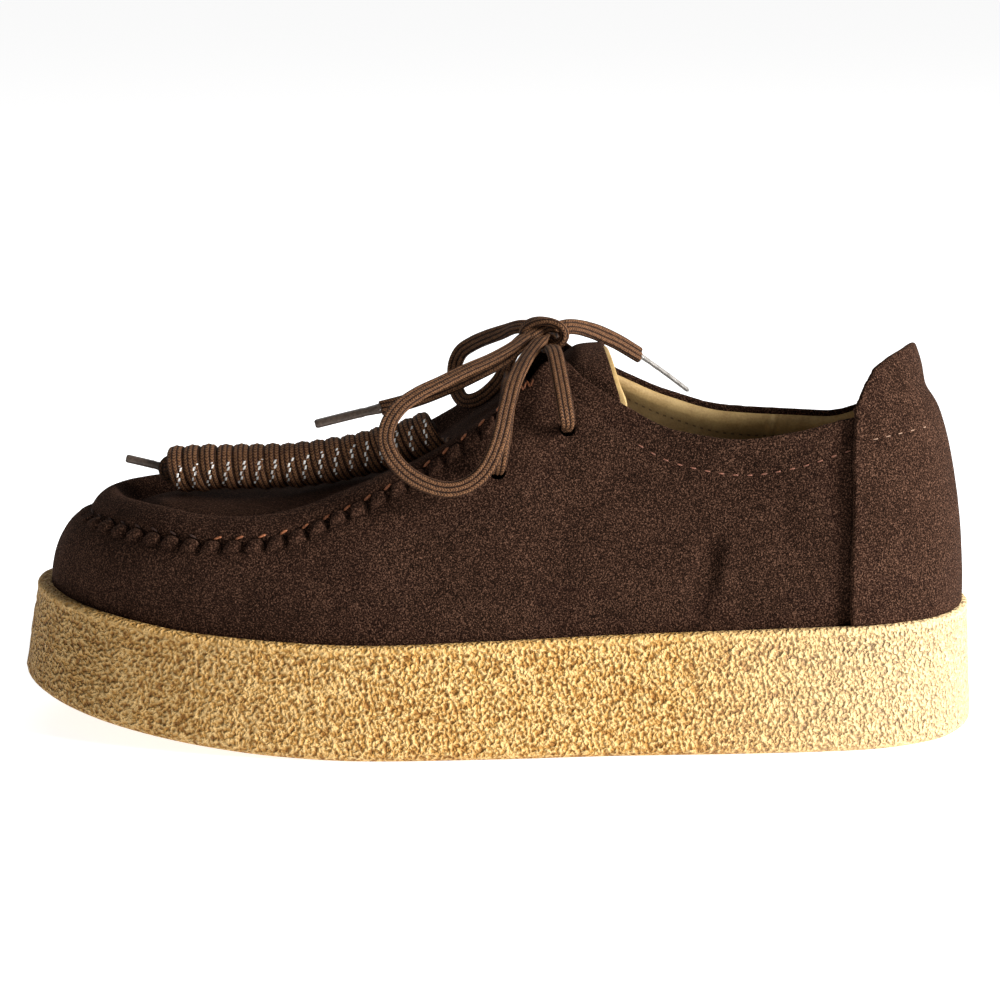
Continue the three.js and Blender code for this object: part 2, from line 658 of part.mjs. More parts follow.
// Heel counter: suede over the back of the upper that runs up into a free tab.
function counterSolid() {
  const high = { "-1": column(tabRows, "lateral", "round"), 1: column(tabRows, "medial", "round") };
  const around = 26;
  const up = 8;
  const grid = Array.from({ length: around + 1 }, (_, i) => {
    const turn = (2 * i) / around - 1;
    const side = turn < 0 ? -1 : 1;
    const top = tabHeight * high[side](1 - Math.abs(turn));
    const foot = heelHeight + gap;
    return Array.from({ length: up + 1 }, (_, j) => {
      const z = mix(foot, top, j / up);
      const front = angleAtX(counterFront, z, side);
      return wallAt(mix(Math.PI, front, Math.abs(turn)), z);
    });
  });
  const inside = offsetGrid(grid, gap * 1.3, false);
  const outside = offsetGrid(grid, gap * 1.3 + counterWall, false);
  const rings = inside.map((row, i) => {
    outside[i][0].z = row[0].z;
    return [...outside[i], ...row.slice().reverse()];
  });
  return solidOf(bodyOfRings(rings, false));
}

// Footbed inside the upper.
function insoleSolid() {
  const inset = (a) => featherInset(a) + upperWall + gap * 2;
  const level = (extra, height) =>
    angles
      .filter((_, i) => i % 2 === 0)
      .map((a) => planAt(a, inset(a) + extra, seatHeight(alongOf(a)) + height));
  return solidOf(bodyOfLevels([level(0, gap), level(0, gap + insoleThick * 0.7), level(1.2, gap + insoleThick)]));
}

// The piece of a cut solid that has the most volume.
function largest(solid) {
  const bodies = solid.decompose();
  return bodies.reduce((best, b) => (b.volume() > best.volume() ? b : best));
}

const routeCurve = (route) =>
  new THREE.CatmullRomCurve3(route.map((p) => new THREE.Vector3(...p)), false, "centripetal");

// A round cord along a route.
function cordSolid(route, radius, steps) {
  const section = new THREE.Shape();
  section.absarc(0, 0, radius, 0, 2 * Math.PI);
  return solidOf(
    new THREE.ExtrudeGeometry(section, {
      steps,
      extrudePath: routeCurve(route),
      curveSegments: cordSides / 2,
    }),
  );
}

const stepsOf = (route) => Math.max(3, Math.round(routeCurve(route).getLength() / (laceRadius * 4)));

function knotSolid(extra) {
  const knot = new THREE.SphereGeometry(1, 14, 9);
  knot.scale(knotSize[0] / 2 + extra, knotSize[1] / 2 + extra, knotSize[2] / 2 + extra);
  knot.translate(...knotCentre);
  return solidOf(knot);
}

// The wound spare lace: a row of turns, each one a ring that bulges between two grooves.
function coilSolid(extra) {
  const path = routeCurve(coilRoute);
  const steps = 2 * coilTurns;
  const sides = 10;
  const rings = Array.from({ length: steps + 1 }, (_, i) => {
    const t = i / steps;
    const centre = path.getPointAt(t);
    const ahead = path.getTangentAt(t);
    const side = new THREE.Vector3(0, 1, 0).cross(ahead).normalize();
    const up = new THREE.Vector3().crossVectors(ahead, side);
    const radius = coilRadius * mix(1, 0.9, t) - (i % 2 === 0 ? coilGroove : 0) + extra;
    return Array.from({ length: sides }, (_, j) => {
      const turn = (2 * Math.PI * j) / sides;
      return centre
        .clone()
        .addScaledVector(side, radius * Math.cos(turn))
        .addScaledVector(up, radius * Math.sin(turn));
    });
  });
  return solidOf(bodyOfRings(rings, false));
}

// Cords meet with a gap: each one is cut back from those made before it.
const cords = [];
function cordNode(name, route, radius = laceRadius) {
  let solid = cordSolid(route, radius, stepsOf(route));
  for (const other of cords) solid = solid.subtract(other.grown);
  const tidy = largest(solid).asOriginal().simplify(gap / 3);
  cords.push({ name, solid: tidy, grown: cordSolid(route, radius + gap, stepsOf(route)) });
}
cords.push({ name: "lace_knot", solid: knotSolid(0), grown: knotSolid(gap) });
cordNode("lace_bar_low", lowBarRoute);
cordNode("lace_bar_high", highBarRoute);
cordNode("lace_loop_near", nearLoopRoute);
cordNode("lace_loop_far", farLoopRoute);
cordNode("lace_end_near", nearEndRoute);
cordNode("lace_end_far", farEndRoute);
cordNode("aglet_near", nearAgletRoute, agletRadius);
cordNode("aglet_far", farAgletRoute, agletRadius);
cords.push({ name: "spare_lace_coil", solid: coilSolid(0), grown: coilSolid(gap) });
cordNode("aglet_spare", spareAgletRoute, agletRadius);

const paint = (color, roughness) =>
  new THREE.MeshStandardMaterial({ color, roughness, metalness: 0 });
const crepe = paint("#d9ad62", 0.9);
const suede = paint("#3b261d", 0.95);
const lining = paint("#c9a66b", 0.7);
const lace = paint("#4a2f1e", 0.8);
const tip = paint("#4c3a2e", 0.4);

const shoe = new THREE.Group();
function addPiece(name, solid, material) {
  const mesh = new THREE.Mesh(geometryOfSolid(solid), material);
  mesh.name = name;
  shoe.add(mesh);
}
addPiece("outsole", outsoleSolid(), crepe);
addPiece("upper", upperSolid(), suede);
addPiece("heel_counter", counterSolid(), suede);
addPiece("tongue", tongueSolid(), suede);
addPiece("insole", insoleSolid(), lining);
for (const cord of cords)
  addPiece(cord.name, cord.solid, cord.name.startsWith("aglet") ? tip : lace);

export default shoe;
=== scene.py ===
import math

import bpy
import numpy as np
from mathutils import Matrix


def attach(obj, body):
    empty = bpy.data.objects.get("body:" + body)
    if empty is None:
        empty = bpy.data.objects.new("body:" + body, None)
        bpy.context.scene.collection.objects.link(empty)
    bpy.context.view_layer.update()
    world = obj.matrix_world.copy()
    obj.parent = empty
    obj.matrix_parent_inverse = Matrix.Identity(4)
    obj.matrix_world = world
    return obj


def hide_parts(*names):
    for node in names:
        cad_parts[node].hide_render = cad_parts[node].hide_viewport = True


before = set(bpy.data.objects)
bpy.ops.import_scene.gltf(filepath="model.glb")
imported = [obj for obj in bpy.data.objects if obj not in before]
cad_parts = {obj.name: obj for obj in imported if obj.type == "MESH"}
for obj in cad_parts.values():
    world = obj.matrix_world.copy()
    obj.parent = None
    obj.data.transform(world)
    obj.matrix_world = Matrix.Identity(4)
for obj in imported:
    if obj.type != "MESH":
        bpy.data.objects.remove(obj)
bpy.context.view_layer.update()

# A left platform lace-up shoe. All shapes are worked out in millimetres and put into the meshes in metres:
# the toe points to -X, the outer side faces -Y, +Z is up, and the origin is on the floor.
mm = 0.001
turn = 2 * math.pi

print("camera and light")
studio = {
    "distance": 800,  # from the camera to what it looks at
    "elevation": 12,
    "lens": 98.17,
    "aim": (0.9, 0, 64.5),
    "world": 0.17,
    "lightAim": (0, 0, 0.05),
    "floor": (0.86, 0.86, 0.86),
    "floorGlow": 0.8,
}
# place and size in metres, power and colour
softBoxes = {
    "keyLight": ((1.75, -0.72, 0.7), 0.7, 84, (1, 0.985, 0.96)),
    "fillLight": ((-1.2, -1.3, 1), 1.2, 1.2, (1, 1, 1)),
    "rimLight": ((-0.5, 1.4, 1.3), 1, 6, (1, 1, 1)),
}
scene = bpy.context.scene
scene.view_settings.view_transform = "Standard"


def makeCamera():
    # place = aim + distance * (0, -cos, sin) of the elevation, tipped to look back at the aim
    data = bpy.data.cameras.new("camera")
    data.lens = studio["lens"]
    data.sensor_width = 36
    camera = bpy.data.objects.new("camera", data)
    scene.collection.objects.link(camera)
    tilt = math.radians(studio["elevation"])
    back = studio["distance"] * np.array([0, -math.cos(tilt), math.sin(tilt)])
    camera.location = (np.array(studio["aim"]) + back) * mm
    camera.rotation_euler = (math.pi / 2 - tilt, 0, 0)
    scene.camera = camera


def softBox(name, place, size, power, colour):
    # a square area light whose axis runs from its place to the lights' aim
    data = bpy.data.lights.new(name, "AREA")
    data.shape = "SQUARE"
    data.size = size
    data.energy = power
    data.color = colour
    light = bpy.data.objects.new(name, data)
    scene.collection.objects.link(light)
    light.location = place
    ahead = np.array(studio["lightAim"]) - np.array(place)
    fall = math.acos(-ahead[2] / np.linalg.norm(ahead))
    light.rotation_euler = (fall, 0, math.atan2(ahead[1], ahead[0]) - math.pi / 2)


makeCamera()
for name, values in softBoxes.items():
    softBox(name, *values)
scene.world = bpy.data.worlds.new("studioWorld")
scene.world.use_nodes = True
sky = scene.world.node_tree.nodes["Background"].inputs
sky["Color"].default_value = (1, 1, 1, 1)
sky["Strength"].default_value = studio["world"]


def clamp01(t):
    # t, held between 0 and 1
    return np.clip(t, 0, 1)


def smooth(t):
    # 3 t^2 - 2 t^3, with t held between 0 and 1
    t = clamp01(t)
    return t * t * (3 - 2 * t)


def mix(a, b, t):
    # a + (b - a) t
    return a + (b - a) * t


def unit(v):
    # each vector over its own length
    return v / np.maximum(np.linalg.norm(v, axis=-1, keepdims=True), 1e-9)


def bell(distance, width):
    # exp(-(distance / width)^2)
    return np.exp(-((distance / width) ** 2))


def curveThrough(at, value, period=None):
    # cubic pieces through the knots whose slopes are harmonic means, so that it never overshoots;
    # with a period the knots repeat
    at = np.array(at, float)
    value = np.array(value, float)
    if period:
        at = np.concatenate([at - period, at, at + period])
        value = np.tile(value, 3)
    slope = np.diff(value) / np.diff(at)
    before, after = slope[:-1], slope[1:]
    same = before * after > 0
    inner = np.where(same, 2 * before * after / np.where(same, before + after, 1), 0)
    tangent = np.concatenate([slope[:1], inner, slope[-1:]])

    def curve(x):
        # value (1 + 2 s) (1 - s)^2 + next s^2 (3 - 2 s) + the two slopes' parts, s from knot to knot
        x = np.mod(x, period) if period else np.clip(x, at[0], at[-1])
        i = np.clip(np.searchsorted(at, x, side="right") - 1, 0, len(at) - 2)
        h = at[i + 1] - at[i]
        s = (x - at[i]) / h
        ends = value[i] * (1 + 2 * s) * (1 - s) ** 2 + value[i + 1] * s * s * (3 - 2 * s)
        return ends + h * tangent[i] * s * (1 - s) ** 2 + h * tangent[i + 1] * s * s * (s - 1)

    return curve


def column(rows, k):
    # one column of a table as a curve of its first column
    return curveThrough([r[0] for r in rows], [r[k] for r in rows])


def angleOf(along):
    # arccos(1 - 2 along): 0 at the toe, pi at the heel, and on round the inner side
    return np.arccos(np.clip(1 - 2 * along, -1, 1))


def alongOf(angle):
    # (1 - cos(angle)) / 2: the share of the length from the toe
    return (1 - np.cos(angle)) / 2


def roundCurve(rows, outer, inner):
    # a column for the outer side and one for the inner side, as one curve round the shoe
    back = rows[1:-1][::-1]
    at = [float(angleOf(r[0])) for r in rows] + [turn - float(angleOf(r[0])) for r in back]
    return curveThrough(at, [r[outer] for r in rows] + [r[inner] for r in back], turn)


def lumps(points, size, seed):
    # smooth noise: random values on a lattice of that size, blended between the corners of its cells
    table = np.random.default_rng(seed).uniform(-1, 1, (32, 32, 32))
    cell = points / size
    base = np.floor(cell).astype(int)
    part = cell - base
    part = part * part * (3 - 2 * part)
    total = np.zeros(points.shape[:-1])
    for corner in np.ndindex(2, 2, 2):
        offset = np.array(corner)
        weight = np.prod(np.where(offset, part, 1 - part), axis=-1)
        index = (base + offset) % 32
        total += weight * table[index[..., 0], index[..., 1], index[..., 2]]
    return total


def buildMesh(name, points, faces, uv=None, attributes=None):
    # points in millimetres; faces is a list of whole-number arrays, one row a face, all wound one way. They
    # are turned outwards where the volume, a sum of a . (b x c) over the triangles, is below nothing
    flat = points.reshape(-1, 3)
    volume = 0
    for block in faces:
        for k in range(1, block.shape[1] - 1):
            a, b, c = flat[block[:, 0]], flat[block[:, k]], flat[block[:, k + 1]]
            volume += float(np.einsum("ij,ij->i", a, np.cross(b, c)).sum())
    if volume < 0:
        faces = [block[:, ::-1] for block in faces]
        uv = [block[:, ::-1] for block in uv or []]
    mesh = bpy.data.meshes.new(name)
    mesh.vertices.add(len(flat))
    mesh.vertices.foreach_set("co", (flat * mm).astype(np.float32).ravel())
    corners = np.concatenate([block.ravel() for block in faces])
    counts = np.concatenate([np.full(len(block), block.shape[1]) for block in faces])
    mesh.loops.add(len(corners))
    mesh.loops.foreach_set("vertex_index", corners.astype(np.int32))
    mesh.polygons.add(len(counts))
    mesh.polygons.foreach_set("loop_start", (np.cumsum(counts) - counts).astype(np.int32))
    mesh.polygons.foreach_set("use_smooth", np.ones(len(counts), bool))
    if uv:
        places = np.concatenate([block.reshape(-1, 2) for block in uv])
        mesh.uv_layers.new(name="weave").data.foreach_set("uv", places.astype(np.float32).ravel())
    mesh.update(calc_edges=True)
    mesh.validate()
    for key, value in (attributes or {}).items():
        layer = mesh.attributes.new(key, "FLOAT", "POINT")
        layer.data.foreach_set("value", value.astype(np.float32).ravel())
    made = bpy.data.objects.new(name, mesh)
    scene.collection.objects.link(made)
    return made


def gridFaces(rows, cols, loopRows=False, loopCols=True):
    # quads of a grid of points, row after row, and each corner's place in it
    steps = np.arange(rows - (not loopRows)), np.arange(cols - (not loopCols))
    i, j = [k.ravel() for k in np.meshgrid(*steps, indexing="ij")]
    places = np.stack([np.stack([i + a, j + b], -1) for a, b in ((0, 0), (1, 0), (1, 1), (0, 1))], 1)
    return (places[..., 0] % rows) * cols + places[..., 1] % cols, places


def capFaces(ring, centre, flip):
    # triangles from a ring of corners to one middle corner
    after = np.roll(ring, -1)
    middle = np.full(len(ring), centre)
    return np.stack([after, ring, middle] if flip else [ring, after, middle], 1)


def finishPiece(piece, material, slotName, *nodes):
    # material and body of a piece, and the CAD nodes that it stands for, which are hidden. The slot name is
    # not used.
    piece.data.materials.append(material)
    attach(piece, "root")
    if nodes:
        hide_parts(*nodes)
    return piece


# The shoe's shared sizes and curves
shoe = {
    "soleLength": 280,
    "ballWidth": 104,
    "heelHeight": 36.5,
    "toeSpring": 12,
    "springShare": 0.36,
    "soleDraft": 2,
    "toeDraft": 4.2,
    "rimWidth": 4,
    "seatDepth": 2,
    "wall": 2.2,
    "collarHeight": 110,
    "seamToe": -119.5,
    "collarHeel": 124.3,
    "seamEnd": 0.53,
    "tabLean": 0.42,
    "gap": 0.3,
}

# share of the length; outer and inner side as shares of the ball width
planRows = [
    (0, 0.055, 0.055), (0.02, -0.135, 0.235), (0.06, -0.262, 0.345), (0.12, -0.36, 0.425),
    (0.2, -0.432, 0.478), (0.28, -0.475, 0.5), (0.38, -0.5, 0.472), (0.5, -0.482, 0.418),
    (0.62, -0.45, 0.378), (0.75, -0.43, 0.372), (0.87, -0.395, 0.352), (0.95, -0.303, 0.263),
    (0.985, -0.187, 0.147), (1, -0.02, -0.02),
]
# share of the length; the platform's top rim as a share of the heel's height
rimRows = [(0, 1.115), (0.1, 1.015), (0.2, 0.935), (0.35, 0.897), (0.5, 0.925), (0.75, 0.975), (1, 1)]
# share of the top edge; outer and inner side; outer and inner height as shares of the flaps' height
edgeRows = [
    (0, 0.03, 0.03, 0.562, 0.562), (0.034, -0.145, 0.195, 0.552, 0.556),
    (0.105, -0.285, 0.31, 0.543, 0.546), (0.162, -0.34, 0.355, 0.538, 0.54),
    (0.222, -0.36, 0.365, 0.548, 0.548), (0.262, -0.36, 0.36, 0.57, 0.568),
    (0.309, -0.35, 0.35, 0.617, 0.614), (0.36, -0.334, 0.332, 0.674, 0.67),
    (0.41, -0.313, 0.31, 0.738, 0.735), (0.455, -0.29, 0.286, 0.808, 0.806),
    (0.521, -0.23, 0.226, 0.925, 0.905), (0.549, -0.187, 0.183, 0.985, 0.985),
    (0.566, -0.18, 0.176, 0.988, 0.99), (0.59, -0.214, 0.205, 0.946, 0.955),
    (0.635, -0.252, 0.238, 0.884, 0.905), (0.696, -0.282, 0.268, 0.82, 0.842),
    (0.77, -0.3, 0.288, 0.798, 0.794), (0.834, -0.305, 0.292, 0.818, 0.784),
    (0.896, -0.292, 0.278, 0.852, 0.78), (0.96, -0.22, 0.2, 0.872, 0.832), (1, -0.01, -0.01, 0.88, 0.88),
]
# share of the length; belly and its rise; shoulder and its fall
swellRows = [
    (0, 0.003, 0.5, 0.064, 0.06), (0.15, 0.012, 0.5, 0.066, 0.08), (0.3, 0.014, 0.45, 0.075, 0.16),
    (0.42, 0.014, 0.4, 0.08, 0.26), (0.55, 0.01, 0.38, 0.125, 0.24), (0.66, 0.006, 0.35, 0.06, 0.34),
    (0.8, 0.002, 0.35, 0.03, 0.4), (0.93, 0, 0.35, 0.05, 0.3), (1, 0, 0.35, 0.064, 0.25),
]
planSide = roundCurve(planRows, 1, 2)
edgeSide = roundCurve(edgeRows, 1, 2)
edgeHigh = roundCurve(edgeRows, 3, 4)
rimShare = column(rimRows, 1)
belly, rise, shoulder, fall = [column(swellRows, k) for k in (1, 2, 3, 4)]


def planPoint(angle):
    # (length (along - 1/2), width * share of the side)
    return np.stack([shoe["soleLength"] * (alongOf(angle) - 0.5), shoe["ballWidth"] * planSide(angle)], -1)


def planOut(angle):
    # level direction square to the plan, pointing outwards
    step = planPoint(angle + 0.02) - planPoint(angle - 0.02)
    return unit(np.stack([step[..., 1], -step[..., 0], np.zeros(step.shape[:-1])], -1))


def draftAt(angle):
    # how far the platform's side leans in: from the sole's to the toe's draft by ((1 + cos) / 2)^3
    return mix(shoe["soleDraft"], shoe["toeDraft"], ((1 + np.cos(angle)) / 2) ** 3)


def underHeight(along):
    # height of the underside: spring (1 - along / its share)^2
    return shoe["toeSpring"] * np.maximum(0, 1 - along / shoe["springShare"]) ** 2


def rimHeight(along):
    # height of the platform's rim: heel height * share
    return shoe["heelHeight"] * rimShare(along)


def planAt(angle, inset, z):
    # a point of the plan moved in by inset, at height z
    flat = planPoint(angle)
    level = np.stack([flat[..., 0], flat[..., 1], z + 0 * angle], -1)
    return level - planOut(angle) * np.asarray(inset + 0 * angle)[..., None]


def featherInset(angle):
    # from the plan in to the upper's foot: draft + rim width
    return draftAt(angle) + shoe["rimWidth"]


def seatHeight(along):
    # rim height - depth of the seat
    return rimHeight(along) - shoe["seatDepth"]


def edgeAt(angle):
    # the upper's top edge: the moccasin seam, then the collar
    return np.stack([
        mix(shoe["seamToe"], shoe["collarHeel"], alongOf(angle)),
        shoe["ballWidth"] * edgeSide(angle),
        shoe["collarHeight"] * edgeHigh(angle),
    ], -1)


def wallCurve(angle):
    # four control points of the wall's curve: foot, belly, shoulder and top edge
    along = alongOf(angle)
    out = planOut(angle)
    foot = planAt(angle, featherInset(angle), seatHeight(along) + shoe["gap"])
    top = edgeAt(angle)
    height = top[..., 2] - foot[..., 2]
    up = np.array([0.0, 0.0, 1.0])
    bellyOut, shoulderOut = [out * (shoe["ballWidth"] * k(along))[..., None] for k in (belly, shoulder)]
    bellyUp, shoulderDown = [up * (height * k(along))[..., None] for k in (rise, fall)]
    return foot, foot + bellyOut + bellyUp, top + shoulderOut - shoulderDown, top


def wallPoint(angle, t):
    # (1 - t)^3 a + 3 t (1 - t)^2 b + 3 t^2 (1 - t) c + t^3 d of the four control points
    a, b, c, d = wallCurve(angle)
    t = np.asarray(t + 0 * angle)[..., None]
    return a * (1 - t) ** 3 + 3 * b * t * (1 - t) ** 2 + 3 * c * t * t * (1 - t) + d * t ** 3


def wallTangent(angle, t):
    # direction up the wall: (1 - t)^2 (b - a) + 2 t (1 - t) (c - b) + t^2 (d - c)
    a, b, c, d = wallCurve(angle)
    t = np.asarray(t + 0 * angle)[..., None]
    return unit((b - a) * (1 - t) ** 2 + 2 * (c - b) * t * (1 - t) + (d - c) * t * t)


def wallNormal(angle, t):
    # direction square to the wall, pointing outwards
    return unit(np.cross(wallPoint(angle + 0.01, t) - wallPoint(angle - 0.01, t), wallTangent(angle, t)))


def wallAt(angle, z):
    # the wall at a height, found by halving; above its top edge it leans in
    angle, z = np.broadcast_arrays(np.asarray(angle, float), np.asarray(z, float))
    low, high = np.zeros(angle.shape), np.ones(angle.shape)
    for _ in range(26):
        middle = (low + high) / 2
        under = wallPoint(angle, middle)[..., 2] < z
        low, high = np.where(under, middle, low), np.where(under, high, middle)
    top = edgeAt(angle)
    rest = z - top[..., 2]
    above = top - planOut(angle) * (shoe["tabLean"] * rest)[..., None]
    above[..., 2] = z
    return np.where((rest >= 0)[..., None], above, wallPoint(angle, (low + high) / 2))


def angleAtX(x, z, side):
    # the angle at which the wall has that place along X at height z, on the outer (-1) or inner (1) side
    x, z, side = np.broadcast_arrays(np.asarray(x, float), np.asarray(z, float), np.asarray(side, float))
    low, high = np.full(x.shape, 0.02), np.full(x.shape, math.pi - 0.02)
    for _ in range(30):
        middle = (low + high) / 2
        before = wallAt(np.where(side < 0, middle, turn - middle), z)[..., 0] < x
        low, high = np.where(before, middle, low), np.where(before, high, middle)
    return np.where(side < 0, low, turn - low)


# Angles that stand evenly round the shoe, and the distance along the top edge from the toe
fineAngles = np.linspace(0, turn, 6001)


def runOf(points):
    # distance along a line of points, from its first one
    step = np.linalg.norm(np.diff(points, axis=0), axis=1)
    return np.concatenate([[0], np.cumsum(step)])


edgeRun = runOf(edgeAt(fineAngles))
middleRun = runOf(wallPoint(fineAngles, 0.5))
planRun = runOf(planAt(fineAngles, 0, 0))


def evenAngles(count, run, first=0.0, last=turn, closed=True):
    # angles whose places along a run stand evenly
    start, end = np.interp([first, last], fineAngles, run)
    return np.interp(np.linspace(start, end, count, endpoint=not closed), run, fineAngles)


def seamPlace(angle):
    # millimetres along the top edge from the toe, the same way down both sides
    angle = np.mod(angle, turn)
    place = np.interp(angle, fineAngles, edgeRun)
    return np.where(angle <= math.pi, place, edgeRun[-1] - place)


def routeCurve(route, count, spread=None):
    # a centripetal curve through given points, sampled evenly along its length
    knots = np.array(route, float)
    knots = np.vstack([2 * knots[0] - knots[1], knots, 2 * knots[-1] - knots[-2]])
    pieces = []
    share = np.linspace(0, 1, 40)[:, None]
    for a, b, c, d in zip(knots[:-3], knots[1:-2], knots[2:-1], knots[3:]):
        t1 = np.linalg.norm(b - a) ** 0.5
        t2 = t1 + np.linalg.norm(c - b) ** 0.5
        t3 = t2 + np.linalg.norm(d - c) ** 0.5
        t = mix(t1, t2, share)
        ab, bc, cd = mix(a, b, t / t1), mix(b, c, (t - t1) / (t2 - t1)), mix(c, d, (t - t2) / (t3 - t2))
        pieces.append(mix(mix(ab, bc, t / t2), mix(bc, cd, (t - t1) / (t3 - t1)), (t - t1) / (t2 - t1))[:-1])
    line = np.vstack(pieces + [knots[-2:-1]])
    run = runOf(line)
    at = np.linspace(0, run[-1], count) if spread is None else spread * run[-1]
    return np.stack([np.interp(at, run, line[:, k]) for k in range(3)], 1)


def rigOf(path, hint):
    # two directions along the path: its flat side's, towards the hint, and the one across both
    ahead = unit(np.gradient(path, axis=0))
    hint = np.broadcast_to(hint, path.shape)
    flat = unit(hint - ahead * np.sum(hint * ahead, axis=1, keepdims=True))
    return flat, np.cross(ahead, flat)


print("materials")


def nodeMaterial(name, surface):
    # a material whose plain values are set on its shader's own sockets
    material = bpy.data.materials.new(name)
    material.use_nodes = True
    shader = material.node_tree.nodes["Principled BSDF"]
    for key, value in surface.items():
        shader.inputs[key].default_value = value
    return material, material.node_tree, shader.inputs


def put(value, socket):
    # a socket is linked, a number or colour is set
    if isinstance(value, bpy.types.NodeSocket):
        socket.id_data.links.new(value, socket)
    else:
        socket.default_value = value


def newNode(tree, kind, **values):
    # a node with some of its sockets filled
    node = tree.nodes.new("ShaderNode" + kind)
    for key, value in values.items():
        put(value, node.inputs[key])
    return node


def sums(operation, a, b=0.0):
    # a Math node: a, operation, b
    tree = (a if isinstance(a, bpy.types.NodeSocket) else b).id_data
    node = tree.nodes.new("ShaderNodeMath")
    node.operation = operation
    put(a, node.inputs[0])
    put(b, node.inputs[1])
    return node.outputs[0]


def plus(a, b):
    # a + b
    return sums("ADD", a, b)


def less(a, b):
    # a - b
    return sums("SUBTRACT", a, b)


def times(a, b):
    # a * b
    return sums("MULTIPLY", a, b)


def within(value, middle, reach):
    # 1 where |value - middle| < reach
    return sums("LESS_THAN", sums("ABSOLUTE", less(value, middle)), reach)


def rising(value, start, end, most):
    # nothing at start, rising evenly to the most at end
    rise = times(less(value, start), most / (end - start))
    return sums("MINIMUM", sums("MAXIMUM", rise, 0.0), most)


def objectPlace(tree):
    # the place on the piece, in metres
    return newNode(tree, "TexCoord").outputs["Object"]


def attribute(tree, name):
    # a number that the mesh keeps for each point
    node = newNode(tree, "Attribute")
    node.attribute_name = name
    return node.outputs["Fac"]


def partsOf(vector):
    # the numbers along X, Y and Z, or u and v
    return newNode(vector.id_data, "SeparateXYZ", Vector=vector).outputs


def noise(place, scale, detail=2.0, rough=0.5, distort=0.0):
    # a cloud pattern of so many lumps per metre
    values = {"Vector": place, "Scale": scale, "Detail": detail, "Roughness": rough, "Distortion": distort}
    return newNode(place.id_data, "TexNoise", **values).outputs["Fac"]


def ramp(value, stops, lift=1.0):
    # colours between stops, each of them times the lift
    node = newNode(value.id_data, "ValToRGB", Fac=value)
    elements = node.color_ramp.elements
    while len(elements) < len(stops):
        elements.new(0.5)
    for element, (place, colour) in zip(elements, stops):
        element.position = place
        element.color = (*[min(1, k * lift) for k in colour], 1)
    return node.outputs["Color"]


def blendColour(share, a, b):
    # a + (b - a) share, where b is a plain colour
    node = newNode(a.id_data, "Mix")
    node.data_type = "RGBA"
    put(share, node.inputs[0])
    put(a, node.inputs[6])
    put((*b, 1), node.inputs[7])
    return node.outputs[2]


def bump(height, distance, strength=1.0, **under):
    # relief of so many metres where the height is 1, over the normal of the relief under it
    values = {"Height": height, "Distance": distance, "Strength": strength, **under}
    return newNode(height.id_data, "Bump", **values).outputs["Normal"]


def paint(inputs, colour, relief):
    # colour and relief go to the shader
    put(colour, inputs["Base Color"])
    put(relief, inputs["Normal"])


suedeLook = {
    # place on the ramp and colour: between the fibres, the hide and the tips of the nap
    "stops": [
        (0.38, (0.0065, 0.0028, 0.0016)),
        (0.52, (0.025, 0.0111, 0.0067)),
        (0.72, (0.14, 0.073, 0.047)),
    ],
    "speck": 2250,  # fibre tufts, per metre
    "drift": 85,  # brushed patches, per metre
    "tuft": 0.0006,  # relief in metres, of the tufts and of the patches
    "patch": 0.0006,
    "surface": {
        "Roughness": 0.95,
        "Specular IOR Level": 0.05,
        "Sheen Weight": 0.05,
        "Sheen Roughness": 0.4,
        "Sheen Tint": (0.9, 0.5, 0.34, 1),
    },
}


def suedeMaterial(name, lift=1.0):
    # colour and tufts follow 0.9 of a fine noise + 0.1 of a broad one
    material, tree, inputs = nodeMaterial(name, suedeLook["surface"])
    place = objectPlace(tree)
    speck = noise(place, suedeLook["speck"], 1.5, 0.7)
    drift = noise(place, suedeLook["drift"], 3, 0.55, 0.6)
    value = plus(times(speck, 0.9), times(drift, 0.1))
    patches = bump(drift, suedeLook["patch"], 0.5)
    paint(inputs, ramp(value, suedeLook["stops"], lift), bump(value, suedeLook["tuft"], 0.9, Normal=patches))
    return material


crepeLook = {
    # place on the ramp and colour: pits, body and crests
    "stops": [(0.1, (0.25, 0.1, 0.011)), (0.5, (0.5, 0.263, 0.06)), (0.95, (0.76, 0.5, 0.2))],
    # painted shade round the toe and painted light at the heel, blended in along X
    "toePaintedShade": (0.13, 0.06, 0.011),
    "toeReach": (-0.05, -0.13, 0.36),  # along X from and to, in metres, and the most
    "heelPaintedLight": (1, 0.86, 0.58),
    "heelReach": (0.05, 0.14, 0.42),
    "worm": 780,  # crumbs per metre
    "wide": 5.2,  # the larger, the thinner the crumbs
    "fold": 0.26,  # share of folded crumbs, the rest are round lumps
    "middle": 0.8,  # height to which the grain calms them
    "depth": 0.0011,
    "surface": {"Roughness": 0.7, "Specular IOR Level": 0.3},
}


